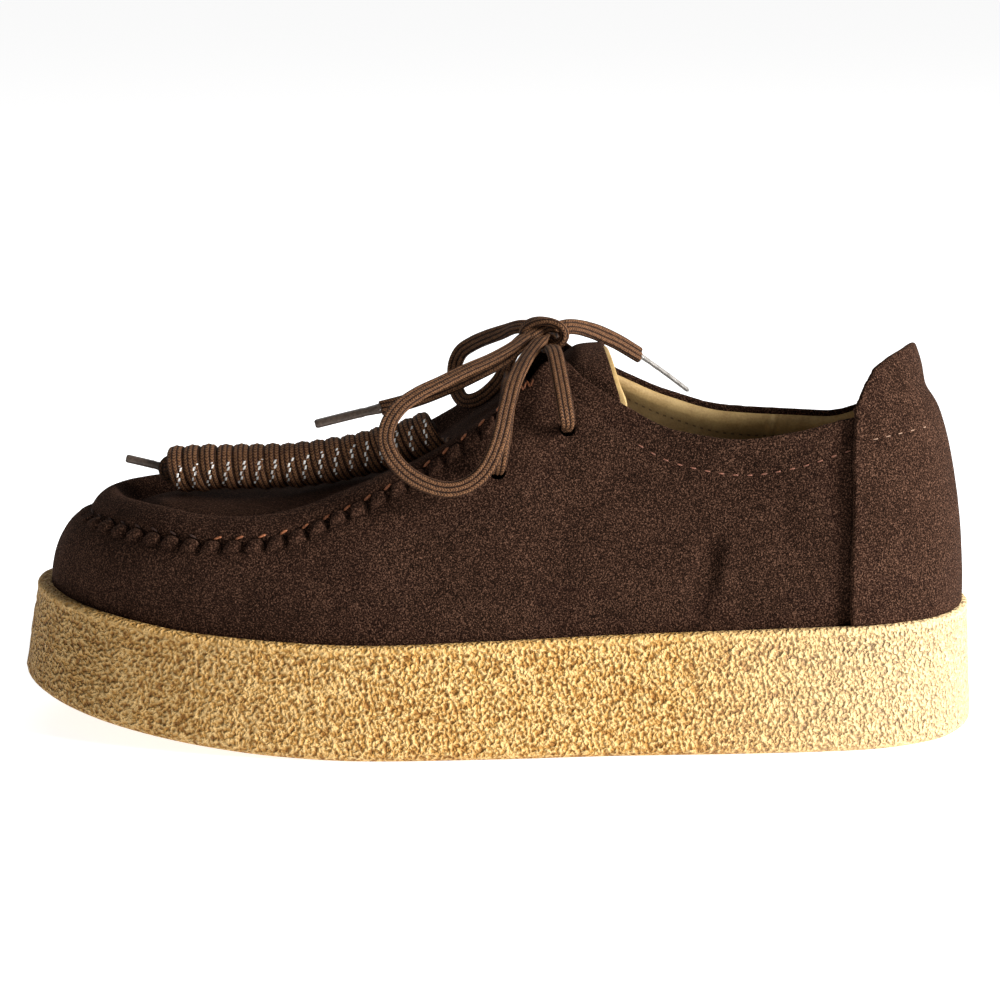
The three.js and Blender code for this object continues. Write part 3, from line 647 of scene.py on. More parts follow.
def crepeMaterial():
    # folded crumbs, 1 - (wide (noise - 1/2))^2, and round lumps, another noise, mixed by their shares
    material, tree, inputs = nodeMaterial("crepe", crepeLook["surface"])
    place = objectPlace(tree)
    turned = newNode(tree, "Mapping", Rotation=(0, math.radians(20), 0), Scale=(1, 1, 0.97), Vector=place)
    crumbs = turned.outputs["Vector"]
    lump = noise(crumbs, crepeLook["worm"] * 1.2, 0.6, 0.5, 0.35)
    fold = noise(crumbs, crepeLook["worm"], 0.8, 0.5, 0.35)
    aside = times(less(fold, 0.5), crepeLook["wide"])
    worm = sums("MAXIMUM", less(1.0, times(aside, aside)), -0.2)
    lump = plus(times(less(lump, 0.5), 3.4), 0.6)
    height = plus(times(worm, crepeLook["fold"]), times(lump, 1 - crepeLook["fold"]))
    calm = times(less(height, crepeLook["middle"]), attribute(tree, "grain"))
    shown = plus(calm, crepeLook["middle"])
    drift = noise(crumbs, 45, 2)
    colour = ramp(plus(shown, times(less(drift, 0.5), 0.25)), crepeLook["stops"])
    # painted shade darker round the toe, painted light paler at the heel
    x = partsOf(place)[0]
    colour = blendColour(rising(x, *crepeLook["toeReach"]), colour, crepeLook["toePaintedShade"])
    colour = blendColour(rising(x, *crepeLook["heelReach"]), colour, crepeLook["heelPaintedLight"])
    paint(inputs, colour, bump(shown, crepeLook["depth"]))
    return material


liningLook = {
    "stops": [(0.3, (0.3, 0.175, 0.058)), (0.62, (0.58, 0.4, 0.17))],
    "grain": 1500,  # pores per metre
    # painted shade that falls inside the shoe below the padded topline
    "shade": (0.09, 0.052, 0.02),
    "shadeReach": (4, 7, 0.72),  # millimetres under the topline from and to, and the most
    "thread": (0.05, 0.03, 0.014),
    "threadBelow": 7,  # millimetres
    "threadPitch": 2.4,
    "surface": {"Roughness": 0.62, "Specular IOR Level": 0.3},
}


def liningMaterial(name, lift=1.0, sewn=False):
    # colour follows 0.35 of the pores + 0.65 of a broad noise
    material, tree, inputs = nodeMaterial(name, liningLook["surface"])
    place = objectPlace(tree)
    pores = noise(place, liningLook["grain"], 3, 0.6)
    drift = noise(place, 90, 3, 0.6)
    colour = ramp(plus(times(pores, 0.35), times(drift, 0.65)), liningLook["stops"], lift)
    if sewn:
        # painted shade below the padded edge, with a row of short dark stitches
        below, run = attribute(tree, "below"), attribute(tree, "run")
        colour = blendColour(rising(below, *liningLook["shadeReach"]), colour, liningLook["shade"])
        near = within(below, liningLook["threadBelow"], 0.24)
        dash = sums("LESS_THAN", sums("FRACT", sums("DIVIDE", run, liningLook["threadPitch"])), 0.4)
        colour = blendColour(times(times(near, dash), 0.8), colour, liningLook["thread"])
    paint(inputs, colour, bump(pores, 0.00012, 0.7, Normal=bump(drift, 0.0005, 0.4)))
    return material


braidLook = {
    # place on the ramp and colour: painted shade in the grooves, the yarns, and painted highlights on their
    # lit tops
    "stops": [(0.12, (0.0105, 0.0045, 0.0026)), (0.55, (0.046, 0.02, 0.0095)), (0.98, (0.21, 0.1, 0.046))],
    "white": (1, 0.98, 0.95),
    "pitch": 0.78,  # millimetres between crossings
    "ribs": 8,  # round the lace
    "dashPitch": 1.2,  # millimetres between the white thread's dashes
    "surface": {"Roughness": 0.7, "Specular IOR Level": 0.16},
}


def everyOther(value):
    # 0 and 1 by turns, one whole number after the other
    return sums("MODULO", sums("FLOOR", value), 2.0)


def braidMaterial(name, tracer=False, lift=1.0):
    # ribs of slanted yarns that lean one way and the other: (1 - |2 half|^3.6) (0.55 + 0.45 (1 + sine) / 2),
    # where half is the place across a rib; u goes round the lace, v is millimetres along it
    material, tree, inputs = nodeMaterial(name, braidLook["surface"])
    uv = newNode(tree, "UVMap")
    uv.uv_map = "weave"
    u, v, _ = partsOf(uv.outputs["UV"])
    rib = plus(times(u, float(braidLook["ribs"])), 0.5)
    band = times(rib, 2.0)
    lean = times(times(less(sums("FRACT", band), 0.5), less(times(everyOther(band), 2.0), 1.0)), 0.9)
    phase = plus(sums("DIVIDE", v, braidLook["pitch"]), lean)
    yarn = plus(times(sums("SINE", times(phase, turn)), 0.5), 0.5)
    half = less(sums("FRACT", rib), 0.5)
    crown = less(1.0, sums("POWER", sums("ABSOLUTE", times(half, 2.0)), 3.6))
    height = times(crown, plus(times(yarn, 0.45), 0.55))
    stray = noise(objectPlace(tree), 1300, 2)
    value = plus(height, times(less(stray, 0.5), 0.9))
    colour = ramp(value, braidLook["stops"], lift)
    if tracer:
        # white dashes that cross the lace's outer face, a quarter round, on a slant once a turn
        late = less(sums("FRACT", attribute(tree, "turns")), 0.5)
        step = sums("DIVIDE", v, braidLook["dashPitch"])
        swing = times(less(everyOther(step), 0.5), 0.05)
        near = within(plus(u, swing), less(0.25, times(late, 1.5)), 0.026)
        dash = sums("GREATER_THAN", sums("FRACT", step), 0.3)
        shown = times(times(near, dash), within(late, 0.0, 0.095))
        colour = blendColour(shown, colour, braidLook["white"])
    paint(inputs, colour, bump(value, 0.00035, 0.9))
    return material


# dark and light colour, flecks per metre, roughness
plainLooks = {
    "rustThread": ((0.12, 0.035, 0.012), (0.44, 0.15, 0.055), 2500, 0.6),
    "darkThread": ((0.02, 0.008, 0.0045), (0.06, 0.024, 0.014), 2500, 0.8),
    "collarThread": ((0.1, 0.034, 0.019), (0.28, 0.11, 0.065), 2500, 0.6),
    "tanThread": ((0.13, 0.07, 0.04), (0.32, 0.19, 0.12), 2500, 0.6),
    "tipPlastic": ((0.045, 0.03, 0.022), (0.1, 0.07, 0.052), 1400, 0.42),
}
glassLook = {
    "stops": [(0.3, (0.3, 0.27, 0.24)), (0.7, (0.66, 0.63, 0.6))],
    "surface": {"Roughness": 0.08, "IOR": 1.45, "Transmission Weight": 0.8},
}


def plainMaterial(name, dark, light, scale, roughness):
    # flecks of one noise, as colour and as a slight relief
    material, tree, inputs = nodeMaterial(name, {"Roughness": roughness})
    fleck = noise(objectPlace(tree), scale, 3, 0.6)
    paint(inputs, ramp(fleck, [(0.35, dark), (0.65, light)]), bump(fleck, 0.00006))
    return material


def glassMaterial(name):
    # clear plastic, clouded by one noise
    material, tree, inputs = nodeMaterial(name, glassLook["surface"])
    put(ramp(noise(objectPlace(tree), 400, 2), glassLook["stops"]), inputs["Base Color"])
    return material


suede, suedeEdge = suedeMaterial("suede"), suedeMaterial("suedeEdge", 1.15)
crepe = crepeMaterial()
lining = liningMaterial("liningLeather")
sewnLining = liningMaterial("sewnLining", sewn=True)
footbedLeather = liningMaterial("footbedLeather", 0.85)
braid = braidMaterial("braid")
# the spare lace's braid, 1.3 times lighter: painted light from above on the coil
spareBraidPaintedLight = braidMaterial("spareBraidPaintedLight", tracer=True, lift=1.3)
# the laces inside the winding, at 0.4 of the braid: painted shade inside the coil
coreBraid = braidMaterial("coreBraid", lift=0.4)
plain = {name: plainMaterial(name, *values) for name, values in plainLooks.items()}
clearTip = glassMaterial("clearTip")

# Laces: flat ovals carried along the routes of the plain cords
lace = {
    "half": 2.28,  # half its width
    "thick": 1.28,  # half its thickness
    "ribs": 0.24,  # depth of its grooves, as a share of the thickness
    "sides": 28,
    "step": 0.75,
}

lowBarRoute = [
    [0.2, -33.4, 79.8], [0.3, -36, 80.6], [0.5, -38.7, 82.2], [0.9, -39.4, 85], [1.7, -37, 89.4],
    [2.4, -34.6, 94.6], [3, -30.8, 99.4], [3.5, -25.4, 102.8], [4, -17, 102.6],
    [4.2, -8, 100.4], [4.2, 0, 100], [4.2, 8, 100.2], [4, 16, 101],
    [3.5, 23.6, 100.6], [3, 28.8, 97.8], [2.4, 32.6, 93.8], [1.7, 36, 89],
    [0.9, 38.2, 85], [0.5, 37.4, 82.2], [0.3, 34.7, 80.6], [0.2, 32.1, 79.8],
]
highBarRoute = [
    [19.7, -29, 91.4], [19.8, -31.4, 92.2], [19.8, -33.9, 93.8], [19.4, -34.5, 96.6], [18.6, -31.8, 101.2],
    [17.5, -26.8, 106.8], [16.4, -20.2, 111.2], [15.4, -11, 111.2], [15, 0, 109.4],
    [15.4, 10.4, 111.2], [16.4, 19.4, 111.2], [17.5, 25.8, 106.8], [18.6, 30.8, 101.2],
    [19.4, 33.3, 96.6], [19.8, 32.4, 93.8], [19.8, 29.8, 92.2], [19.7, 27.4, 91.4],
]
nearLoopRoute = [
    [10.8, -2.4, 114.4], [7.8, -6.6, 113], [4.6, -11, 111.4], [-1.4, -17, 109], [-8.4, -22, 106.7],
    [-15.4, -27, 104], [-22, -32, 101.5], [-27.1, -36.5, 98.4], [-30.1, -40, 94.2],
    [-30.6, -42.5, 89.9], [-28.6, -44.5, 85.6], [-24.7, -45.5, 81.6], [-19.5, -46, 78.6],
    [-13.7, -46, 77.2], [-8.5, -45.6, 78.2], [-4.1, -45, 81.4], [-1, -44.2, 86.2],
    [1.2, -42, 92.2], [2.8, -38.2, 98.8], [4.6, -32.4, 104.4], [7, -24.6, 108.2],
    [9.4, -16.8, 110.6], [12, -10.6, 112.8], [14.8, -5.4, 114.2],
]
farLoopRoute = [
    [10.4, 2, 115.6], [6, 5, 115], [1.8, 10, 112.8], [-3.5, 15, 110.2], [-7.4, 19, 107.8],
    [-10.7, 22, 105], [-12.4, 23, 101.4], [-12.7, 22, 97.4], [-11.9, 19, 93.6],
    [-9.8, 15.6, 91.4], [-6.6, 13.4, 91.8], [-2.6, 12.3, 94.4], [1.2, 11.6, 98.8],
    [3.4, 10, 104.6], [5.6, 7.8, 108.4], [8.4, 5, 110.8], [11.6, 2.4, 112.8],
]
nearEndRoute = [
    [11, -1.6, 114.2], [7.2, -2.8, 111.8], [2.6, -5.2, 107.8], [-7.7, -8.2, 102.6], [-16.3, -10.4, 99],
    [-24.8, -12.6, 96.2], [-33.2, -14.6, 94.4],
]
farEndRoute = [
    [17.4, 0.6, 115], [21.2, 2.8, 115.4], [27.2, 8, 113.6], [34.8, 14, 109.6], [42.3, 19.8, 104.4],
]
nearAgletRoute = [[-33.8, -14.8, 94.3], [-42.9, -16.4, 92.4], [-51.8, -18, 90.4]]
farAgletRoute = [[42.9, 20.3, 104], [50.6, 27.8, 97.6], [58, 34.6, 91.2]]
coilRoute = [
    [-97, 0, 73.4], [-82.3, -2, 74.8], [-69, -3, 75.2], [-57.3, -4, 75.9],
    [-45.6, -5, 77.8], [-33.9, -6, 80.7], [-25.1, -7, 83.6], [-15.2, -8, 87.6],
]
spareAgletRoute = [[-97.7, 0, 74.4], [-102.9, 0, 75.7], [-108.4, 0, 77]]


def laceSection(sides, square=0.75):
    # a flat oval with three ribs on each face: cos^square and sin^square, less two grooves pressed in
    angle = np.arange(sides) * turn / sides
    across, high = [np.sign(k) * np.abs(k) ** square for k in (np.cos(angle), np.sin(angle))]
    return across, high * (1 - lace["ribs"] * bell(np.abs(across) - 0.34, 0.13))


def roundSection(sides, wide, thick):
    # an oval of these half sizes, as shares of the lace's
    angle = np.arange(sides) * turn / sides
    return np.cos(angle) * wide / lace["half"], np.sin(angle) * thick / lace["thick"]


def sweepLace(name, path, hint, wide=1.0, thick=1.0, section=None, attributes=None):
    # point + side * half width * across + flat * half thickness * high, the flat side facing the hint
    across, high = section or laceSection(lace["sides"])
    sides, count = len(across), len(path)
    flat, side = rigOf(path, hint)
    wide, thick = [np.broadcast_to(k, count)[:, None, None] for k in (wide, thick)]
    rings = (
        path[:, None]
        + side[:, None] * (lace["half"] * across)[None, :, None] * wide
        + flat[:, None] * (lace["thick"] * high)[None, :, None] * thick
    )
    points = np.vstack([rings.reshape(-1, 3), path[:1], path[-1:]])
    quads, places = gridFaces(count, sides)
    run = runOf(path)
    outline = np.stack([across, high * lace["thick"] / lace["half"]], 1)
    loop = runOf(outline[np.arange(sides + 1) % sides])
    uv = np.stack([(loop / loop[-1])[places[..., 1]], run[places[..., 0]]], -1)
    # the caps wind like the grid, so that one test of the volume turns them all
    first, last = np.arange(sides), np.arange(sides) + (count - 1) * sides
    caps = np.vstack([capFaces(first, count * sides, True), capFaces(last, count * sides + 1, False)])
    return buildMesh(name, points, [quads, caps[:, ::-1]], [uv, np.zeros((len(caps), 3, 2))], attributes)


def hintAlong(rows, count):
    # a direction that turns along the path, from a short table: share of the length, then the direction
    at = np.linspace(0, 1, count)
    table = np.array(rows, float)
    return unit(np.stack([np.interp(at, table[:, 0], table[:, k]) for k in (1, 2, 3)], 1))


def lengthOf(path):
    # sum of the steps along it
    return float(runOf(path)[-1])


def samplesOf(route):
    # length / step + 1
    return int(lengthOf(routeCurve(route, 400)) / lace["step"]) + 1


def joinPieces(name, parts):
    # one mesh from several, kept in the same place
    with bpy.context.temp_override(active_object=parts[0], selected_editable_objects=parts):
        bpy.ops.object.join()
    parts[0].name = parts[0].data.name = name
    return parts[0]


print("laces")


def makeBar(name, route, node):
    # its flat side faces away from the shoe's middle line at the height of the foot; narrow at the holes
    path = routeCurve(route, samplesOf(route))
    hint = unit(np.stack([0 * path[:, 0], path[:, 1], (path[:, 2] - 82) * 1.4], 1))
    ends = np.minimum(np.arange(len(path)), np.arange(len(path))[::-1]) * lace["step"]
    piece = sweepLace(name, path, hint, wide=mix(0.72, 1, smooth(ends / 9)))
    finishPiece(piece, braid, "braid", node)


makeBar("laceBarLow", lowBarRoute, "lace_bar_low")
makeBar("laceBarHigh", highBarRoute, "lace_bar_high")

knot = {
    "centre": (13.6, -1.2, 114.2),
    "band": (6, 3.6),  # half sizes of the strand that wraps the knot, along and up
    "bandShift": -1.4,
}
throughRoute = [
    [7.4, -6.6, 112.6], [10.6, -3.6, 114.4], [13.8, -0.8, 115.8], [17, 0.8, 115.4], [19.6, 2.2, 114.4],
]
crossRoute = [[8.4, 3.4, 113.6], [11.4, 1.2, 114], [14.4, -1, 113], [17.8, -3.4, 111.6]]
# two strands that run through the band: name, route, hint, points, and the share drawn in at each end
knotStrands = [
    ("knotThrough", throughRoute, (0.1, -0.25, 1), 30, 0.2),
    ("knotCross", crossRoute, (0.2, 0.1, 1), 24, 0.25),
]


def drawnIn(count, reach):
    # full in the middle and drawn in towards both ends, which lie inside the knot
    at = np.linspace(0, 1, count)
    return mix(0.3, 1, smooth(np.minimum(at, 1 - at) / reach))


def makeKnot():
    # centre + (-long cos, shift + 2.1 cos - 0.12 at, high sin): a leaning ring round the other strands
    centre = np.array(knot["centre"])
    at = np.linspace(-0.6, turn * 0.9, 60)
    long, high = knot["band"]
    lean = knot["bandShift"] + 2.1 * np.cos(at) - 0.12 * at
    ring = centre + np.stack([-long * np.cos(at), lean, high * np.sin(at)], 1)
    strands = [sweepLace("knotWrap", ring, unit((ring - centre) * np.array([1.0, 0.0, 1.0])))]
    for name, route, hint, count, reach in knotStrands:
        ends = drawnIn(count, reach)
        strands.append(sweepLace(name, routeCurve(route, count), hint, wide=ends, thick=ends))
    return joinPieces("laceKnot", strands)


laceKnot = finishPiece(makeKnot(), braid, "braid", "lace_knot")

agletLook = {
    "half": 1.35,
    "thick": 1.05,
    "sides": 20,
    "rings": 42,
    "back": 0.7,  # how far it starts back over the lace
    "hint": (0, -0.6, 0.8),
}


def makeAglet(name, route, node, material, wide=1.0, thick=1.0):
    # a crimped tube: it flares over the lace by a bell, narrows in waves, and is pinched flat at its free end
    path = routeCurve(route, agletLook["rings"])
    path[0] -= unit(path[1] - path[0]) * agletLook["back"]
    at = np.linspace(0, 1, agletLook["rings"])
    swell = 1 + 0.16 * bell(at, 0.05) - 0.05 * np.cos(at * turn * 5) * (at > 0.04) * (at < 0.3)
    size = swell * mix(0.72, 1, np.sqrt(clamp01((1 - at) / 0.035)))
    section = roundSection(agletLook["sides"], agletLook["half"], agletLook["thick"])
    piece = sweepLace(name, path, agletLook["hint"], wide=size * wide, thick=size * thick, section=section)
    return finishPiece(piece, material, "lace_tip", node)


agletNear = makeAglet("agletNear", nearAgletRoute, "aglet_near", plain["tipPlastic"], 1.1)
agletFar = makeAglet("agletFar", farAgletRoute, "aglet_far", clearTip, 0.66, 0.66)
agletSpare = makeAglet("agletSpare", spareAgletRoute, "aglet_spare", plain["tipPlastic"], 0.95)

# share of the length, and the way that the flat side faces there
nearHints = [
    (0, -0.2, -0.35, 0.9), (0.22, -0.3, -0.6, 0.75), (0.36, -0.2, -0.9, 0.45), (0.46, 0, -1, 0.15),
    (0.62, 0, -1, 0.02), (0.76, 0, -1, 0.25), (0.88, -0.3, -0.6, 0.75), (1, -0.3, -0.4, 0.85),
]
farHints = [
    (0, 0, -0.6, 0.8), (0.2, -0.1, -0.9, 0.45), (0.45, -0.4, -0.9, 0.1), (0.6, -0.2, -1, 0.1),
    (0.75, -0.3, -0.9, 0.3), (1, -0.2, -0.5, 0.8),
]
nearEndHints = [(0, 0, -0.8, 0.6), (0.1, 0, -1, 0.1), (0.7, 0, -1, 0.1), (1, -0.1, -0.7, 0.7)]
farEndHints = [(0, 0, -0.7, 0.75), (0.5, 0.2, -0.9, 0.4), (1, 0.3, -0.8, 0.5)]


def makeStrand(name, route, node, hints, farEnd, wide=1.0):
    # a lace along its route; one that comes back to the knot is drawn in where it enters
    path = routeCurve(route, samplesOf(route))
    full = drawnIn(len(path), 0.035) if farEnd == "knot" else 1.0
    piece = sweepLace(name, path, hintAlong(hints, len(path)), wide=wide * full, thick=full)
    finishPiece(piece, braid, "braid", node)


makeStrand("laceLoopNear", nearLoopRoute, "lace_loop_near", nearHints, "knot")
makeStrand("laceLoopFar", farLoopRoute, "lace_loop_far", farHints, "object")
makeStrand("laceEndNear", nearEndRoute, "lace_end_near", nearEndHints, "fitting")
makeStrand("laceEndFar", farEndRoute, "lace_end_far", farEndHints, "fitting", 1.08)

coil = {
    "turns": 17,
    "radius": 5.45,  # middle of the lace
    "taper": 0.9,
    "perTurn": 44,
    "unevenness": 0.28,
    "start": 0.6,
    "sway": 0.35,  # along its line, in millimetres
    "wide": 1.08,  # against the plain lace
    "thick": 1.2,
    "tracer": 0.7,  # where on each turn the white thread comes up
}


def makeCoil():
    # a helix round the coil's own line: the line's point plus a turning radius, each turn a little its own
    at = np.linspace(0, 1, coil["turns"] * coil["perTurn"])
    axis = routeCurve(coilRoute, None, mix(0.028, 0.972, at))
    ahead = unit(np.gradient(axis, axis=0))
    side = unit(np.cross(np.array([0.0, 1.0, 0.0]), ahead))
    up = np.cross(ahead, side)
    angle = at * coil["turns"] * turn + coil["start"]
    whim = np.random.default_rng(4).uniform(-1, 1, coil["turns"] + 3)
    wander = np.interp(at * coil["turns"], np.arange(coil["turns"] + 3), whim)
    radius = coil["radius"] * mix(1, coil["taper"], at) + coil["unevenness"] * wander
    spoke = side * np.cos(angle)[:, None] + up * np.sin(angle)[:, None]
    path = axis + spoke * radius[:, None] + ahead * (coil["sway"] * np.sin(angle + wander))[:, None]
    turns = np.repeat(angle / turn + coil["tracer"] + 0.1 * at, lace["sides"])
    turns = {"turns": np.concatenate([turns, [0, 0]])}
    square = laceSection(lace["sides"], 1)
    piece = sweepLace("spareLace", path, spoke, coil["wide"], coil["thick"], square, turns)
    finishPiece(piece, spareBraidPaintedLight, "braid", "spare_lace_coil")


makeCoil()

# the middles of three laces inside the winding, off its line
coreShifts = [(-1.6, 1.2), (1.6, 1.2), (0, -1.6)]
bightRoute = [
    [-89, -0.8, 71.6], [-94, -0.9, 71.4], [-96.2, -0.9, 72], [-97.2, -0.8, 74],
    [-96.2, -0.7, 75.9], [-94, -0.6, 76.4], [-89, -0.6, 76.6],
]


def makeCore():
    # three laces side by side along the winding's line, and a small bight at the toe end
    strands = []
    for k, (y, z) in enumerate(coreShifts):
        path = routeCurve(coilRoute, 60)[:-2] + np.array([0, y, z])
        strands.append(sweepLace(f"core{k}", path, (0, y, z), wide=0.8, thick=1.1))
    strands.append(sweepLace("bight", routeCurve(bightRoute, 40), (0, -1, 0), wide=0.8, thick=0.95))
    finishPiece(joinPieces("spareLaceCore", strands), coreBraid, "braid")


makeCore()

print("platform")
platform = {
    "round": 3,
    "rimRound": 1.2,
    "bead": 0.3,  # how far the smooth lip at the top stands out
    "beadHeight": 1.9,
    "around": 1040,
    "up": 58,
    "lumps": [(0.16, 3.1, 11), (0.12, 1.7, 12), (0.2, 14, 13)],  # depth, size and seed
}


def tipOf(face):
    # the three different corners of a folded quad
    return [face[k] for k in range(4) if face[k] not in face[:k]]


def unevenness(points, rows):
    # sum of depth * lumps, for rows of depth, size and seed
    return sum(depth * lumps(points, size, seed) for depth, size, seed in rows)


def makePlatform():
    # round the plan and up a profile: foot rounding, drafted side with a beaded lip, ledge and seat
    angle = evenAngles(platform["around"], planRun)[:, None]
    along = alongOf(angle)
    under, rim, draft = underHeight(along), rimHeight(along), draftAt(angle)
    corner = np.linspace(0, 1, 7)[None, :-1] * math.pi / 2
    footInset = platform["round"] * (1 - np.sin(corner))
    footHigh = under + platform["round"] * (1 - np.cos(corner))
    share = np.linspace(0, 1, platform["up"])[None, :]
    high = rim - platform["rimRound"]
    sideHigh = mix(under + platform["round"], high, share)
    below = rim - sideHigh  # distance under the rim
    bead = platform["bead"] * smooth((platform["beadHeight"] + 0.7 - below) / 1.4)
    lip = np.linspace(0, 1, 6)[None, 1:] * math.pi / 2
    lipInset = draft + platform["rimRound"] * (1 - np.cos(lip)) - platform["bead"] * np.cos(lip)
    lipHigh = high + platform["rimRound"] * np.sin(lip)
    ledge = np.linspace(0, 1, 6)[None, 1:]
    seat = featherInset(angle) - 0.3
    ledgeInset = mix(draft + platform["rimRound"], seat, ledge)
    one = np.ones(angle.shape)
    down = one * np.array([[0.4, 0.8, 1.0]])
    inset = np.hstack([footInset * one, draft * share - bead, lipInset, ledgeInset, seat + 0 * down + 0.15])
    height = np.hstack([footHigh, sideHigh, lipHigh, rim - 0.25 * ledge ** 2, rim - shoe["seatDepth"] * down])
    around = np.broadcast_to(angle, inset.shape)
    points = planAt(around, inset, height)
    # how crumbly it is: all of the side, less at the lip, the ledge and the seat
    smoothLip = 1 - 0.55 * smooth((platform["beadHeight"] + 0.6 - below) / 1.4)
    grain = np.hstack([0 * footHigh + 1, smoothLip, 0 * lipHigh + 0.5, 0 * ledgeInset + 0.85, 0 * down + 0.5])
    fade = np.clip((height - under) / 2, 0, 1)
    swell = unevenness(points, platform["lumps"]) * fade * (0.35 + 0.65 * grain)
    points = points + planOut(around) * swell[..., None]
    rows, cols = inset.shape
    quads, _ = gridFaces(rows, cols, loopRows=True, loopCols=False)
    # the underside and the seat are closed by rungs from side to side, whose two ends are folded to triangles
    i = np.arange(rows // 2)
    rungs = np.stack([i, i + 1, rows - i - 1, (rows - i) % rows], 1) * cols
    flats = [rungs[:, ::-1], rungs + cols - 1]
    tips = [np.array([tipOf(b[0]), tipOf(b[-1])]) for b in flats]
    faces = [quads] + [b[1:-1] for b in flats] + tips
    return buildMesh("platform", points, faces, attributes={"grain": grain})


finishPiece(makePlatform(), crepe, "crepe", "outsole")

print("upper")
upper = {
    "around": 1130,
    "up": 42,
    "seamRows": 28,
    "suede": 1.4,  # thickness of the suede alone
    "lip": 2.5,  # how far the gathers stand out
    "pitch": 6.2,  # from gather to gather
    "band": 4.8,  # height of the gathers
    "lining": 1,  # the lining starts this far below the topline
    "facing": 13,  # and this far below the flaps' edge
    "liningAround": 900,
    "backSeam": 82.5,  # the lining's seam, along X
    "hide": [(0.42, 23, 21), (0.16, 9, 22)],  # unevenness: depth, size and seed
    "padding": [(0.2, 15, 41), (0.08, 5, 42)],
    "suedeHole": 2.3,  # radius
    "liningHole": 5,
}
# soft creases of the quarters: side, from and to (along X, height), width and depth
creases = [
    (-1, 60.2, 60, 56.4, 40, 3.3, 1.9),
    (-1, 65.6, 60, 63, 46, 2.4, -0.9),
    (-1, 81.5, 74, 80, 58, 2.4, 0.4),
    (1, 56, 66, 60, 46, 2.8, 1),
    (1, 78, 72, 79, 55, 2.4, 0.25),
]
holes = [(0.2, 80.2), (19.8, 91.1)]  # along X, height


def trough(points, row):
    # a soft groove: a bell across the line from its first to its second point, fading at both ends
    side, x0, z0, x1, z1, width, depth = row
    start, line = np.array([x0, z0]), np.array([x1 - x0, z1 - z0])
    there = points[..., [0, 2]] - start
    t = (there @ line) / (line @ line)
    gapTo = np.linalg.norm(there - clamp01(t)[..., None] * line, axis=-1)
    ends = smooth((t + 0.25) / 0.5) * smooth((1.25 - t) / 0.5)
    return -depth * bell(gapTo, width) * ends * (points[..., 1] * side > 0)


def gathers(place, below):
    # rounded knuckles hanging under the seam, one every pitch, and the pleats that fade out below them
    x = 2 * np.mod(place / upper["pitch"], 1) - 1
    y = (below - upper["band"] * 0.5) / (upper["band"] * 0.52)
    ball = np.sqrt(np.maximum(0, 1 - np.abs(x / 0.76) ** 3.2 - np.abs(y) ** 3.6))
    pleat = -0.8 * bell(np.abs(x) - 1, 0.26) * np.exp(-np.maximum(0, below - 3) / 2.4)
    return ball, pleat


def skinRelief(angle, t, points):
    # millimetres outwards: gathers along the seam, listed creases, soft unevenness of the hide
    along = alongOf(angle)
    top, foot = edgeAt(angle)[..., 2], seatHeight(along) + shoe["gap"]
    below = (1 - t) * (top - foot) * 1.12
    strength = 1 - smooth((along - shoe["seamEnd"] + 0.03) / 0.03)
    grow = mix(0.8, 1.1, smooth((along - 0.14) / 0.2)) * mix(1, 0.62, smooth((along - 0.42) / 0.1))
    grow = grow * mix(0.1, 1, smooth(along / 0.035))
    ball, pleat = gathers(seamPlace(angle), below)
    relief = strength * grow * (upper["lip"] * ball + pleat) - strength * 0.5 * bell(below, 0.5)
    for row in creases:
        relief = relief + trough(points, row)
    relief = relief - 0.22 * (1 - strength) * bell(below - 8.6, 1.1)
    calm = smooth(below / 6) * smooth((t - 0.02) / 0.1)
    return relief + calm * unevenness(points, upper["hide"]) + 0.035 * lumps(points, 2.2, 23)


def makeSkin():
    # round the shoe and up the wall on the outside, over the rim in a half circle, down on the inside
    angle = evenAngles(upper["around"], (edgeRun + middleRun) / 2)[:, None]
    wide, fine = np.linspace(0, 0.86, upper["up"]), np.linspace(0.86, 1, upper["seamRows"] + 1)[1:]
    around, t = np.broadcast_arrays(angle, np.concatenate([wide, fine])[None, :])
    bare = wallPoint(around, t)
    outer = bare + wallNormal(around, t) * skinRelief(around, t, bare)[..., None]
    rimNormal, rimUp = wallNormal(angle[:, 0], 1.0), wallTangent(angle[:, 0], 1.0)
    half = upper["suede"] / 2
    centre = edgeAt(angle[:, 0]) - rimNormal * half
    bend = np.linspace(0, math.pi, 8)[1:-1]
    fuzz = 1 + 0.12 * lumps(centre, 1.6, 31)
    lift = (np.sin(bend)[None, :] * fuzz[:, None])[..., None]
    rim = centre[:, None] + half * (rimNormal[:, None] * np.cos(bend)[None, :, None] + rimUp[:, None] * lift)
    inAround, inT = np.broadcast_arrays(angle, np.linspace(1, 0, 11)[None, :])
    inner = wallPoint(inAround, inT) - wallNormal(inAround, inT) * upper["suede"]
    inner[:, -1, 2] = outer[:, 0, 2]
    points = np.concatenate([outer, rim, inner], axis=1)
    quads, _ = gridFaces(*points.shape[:2], loopRows=True, loopCols=True)
    return buildMesh("upperSuede", points, [quads])


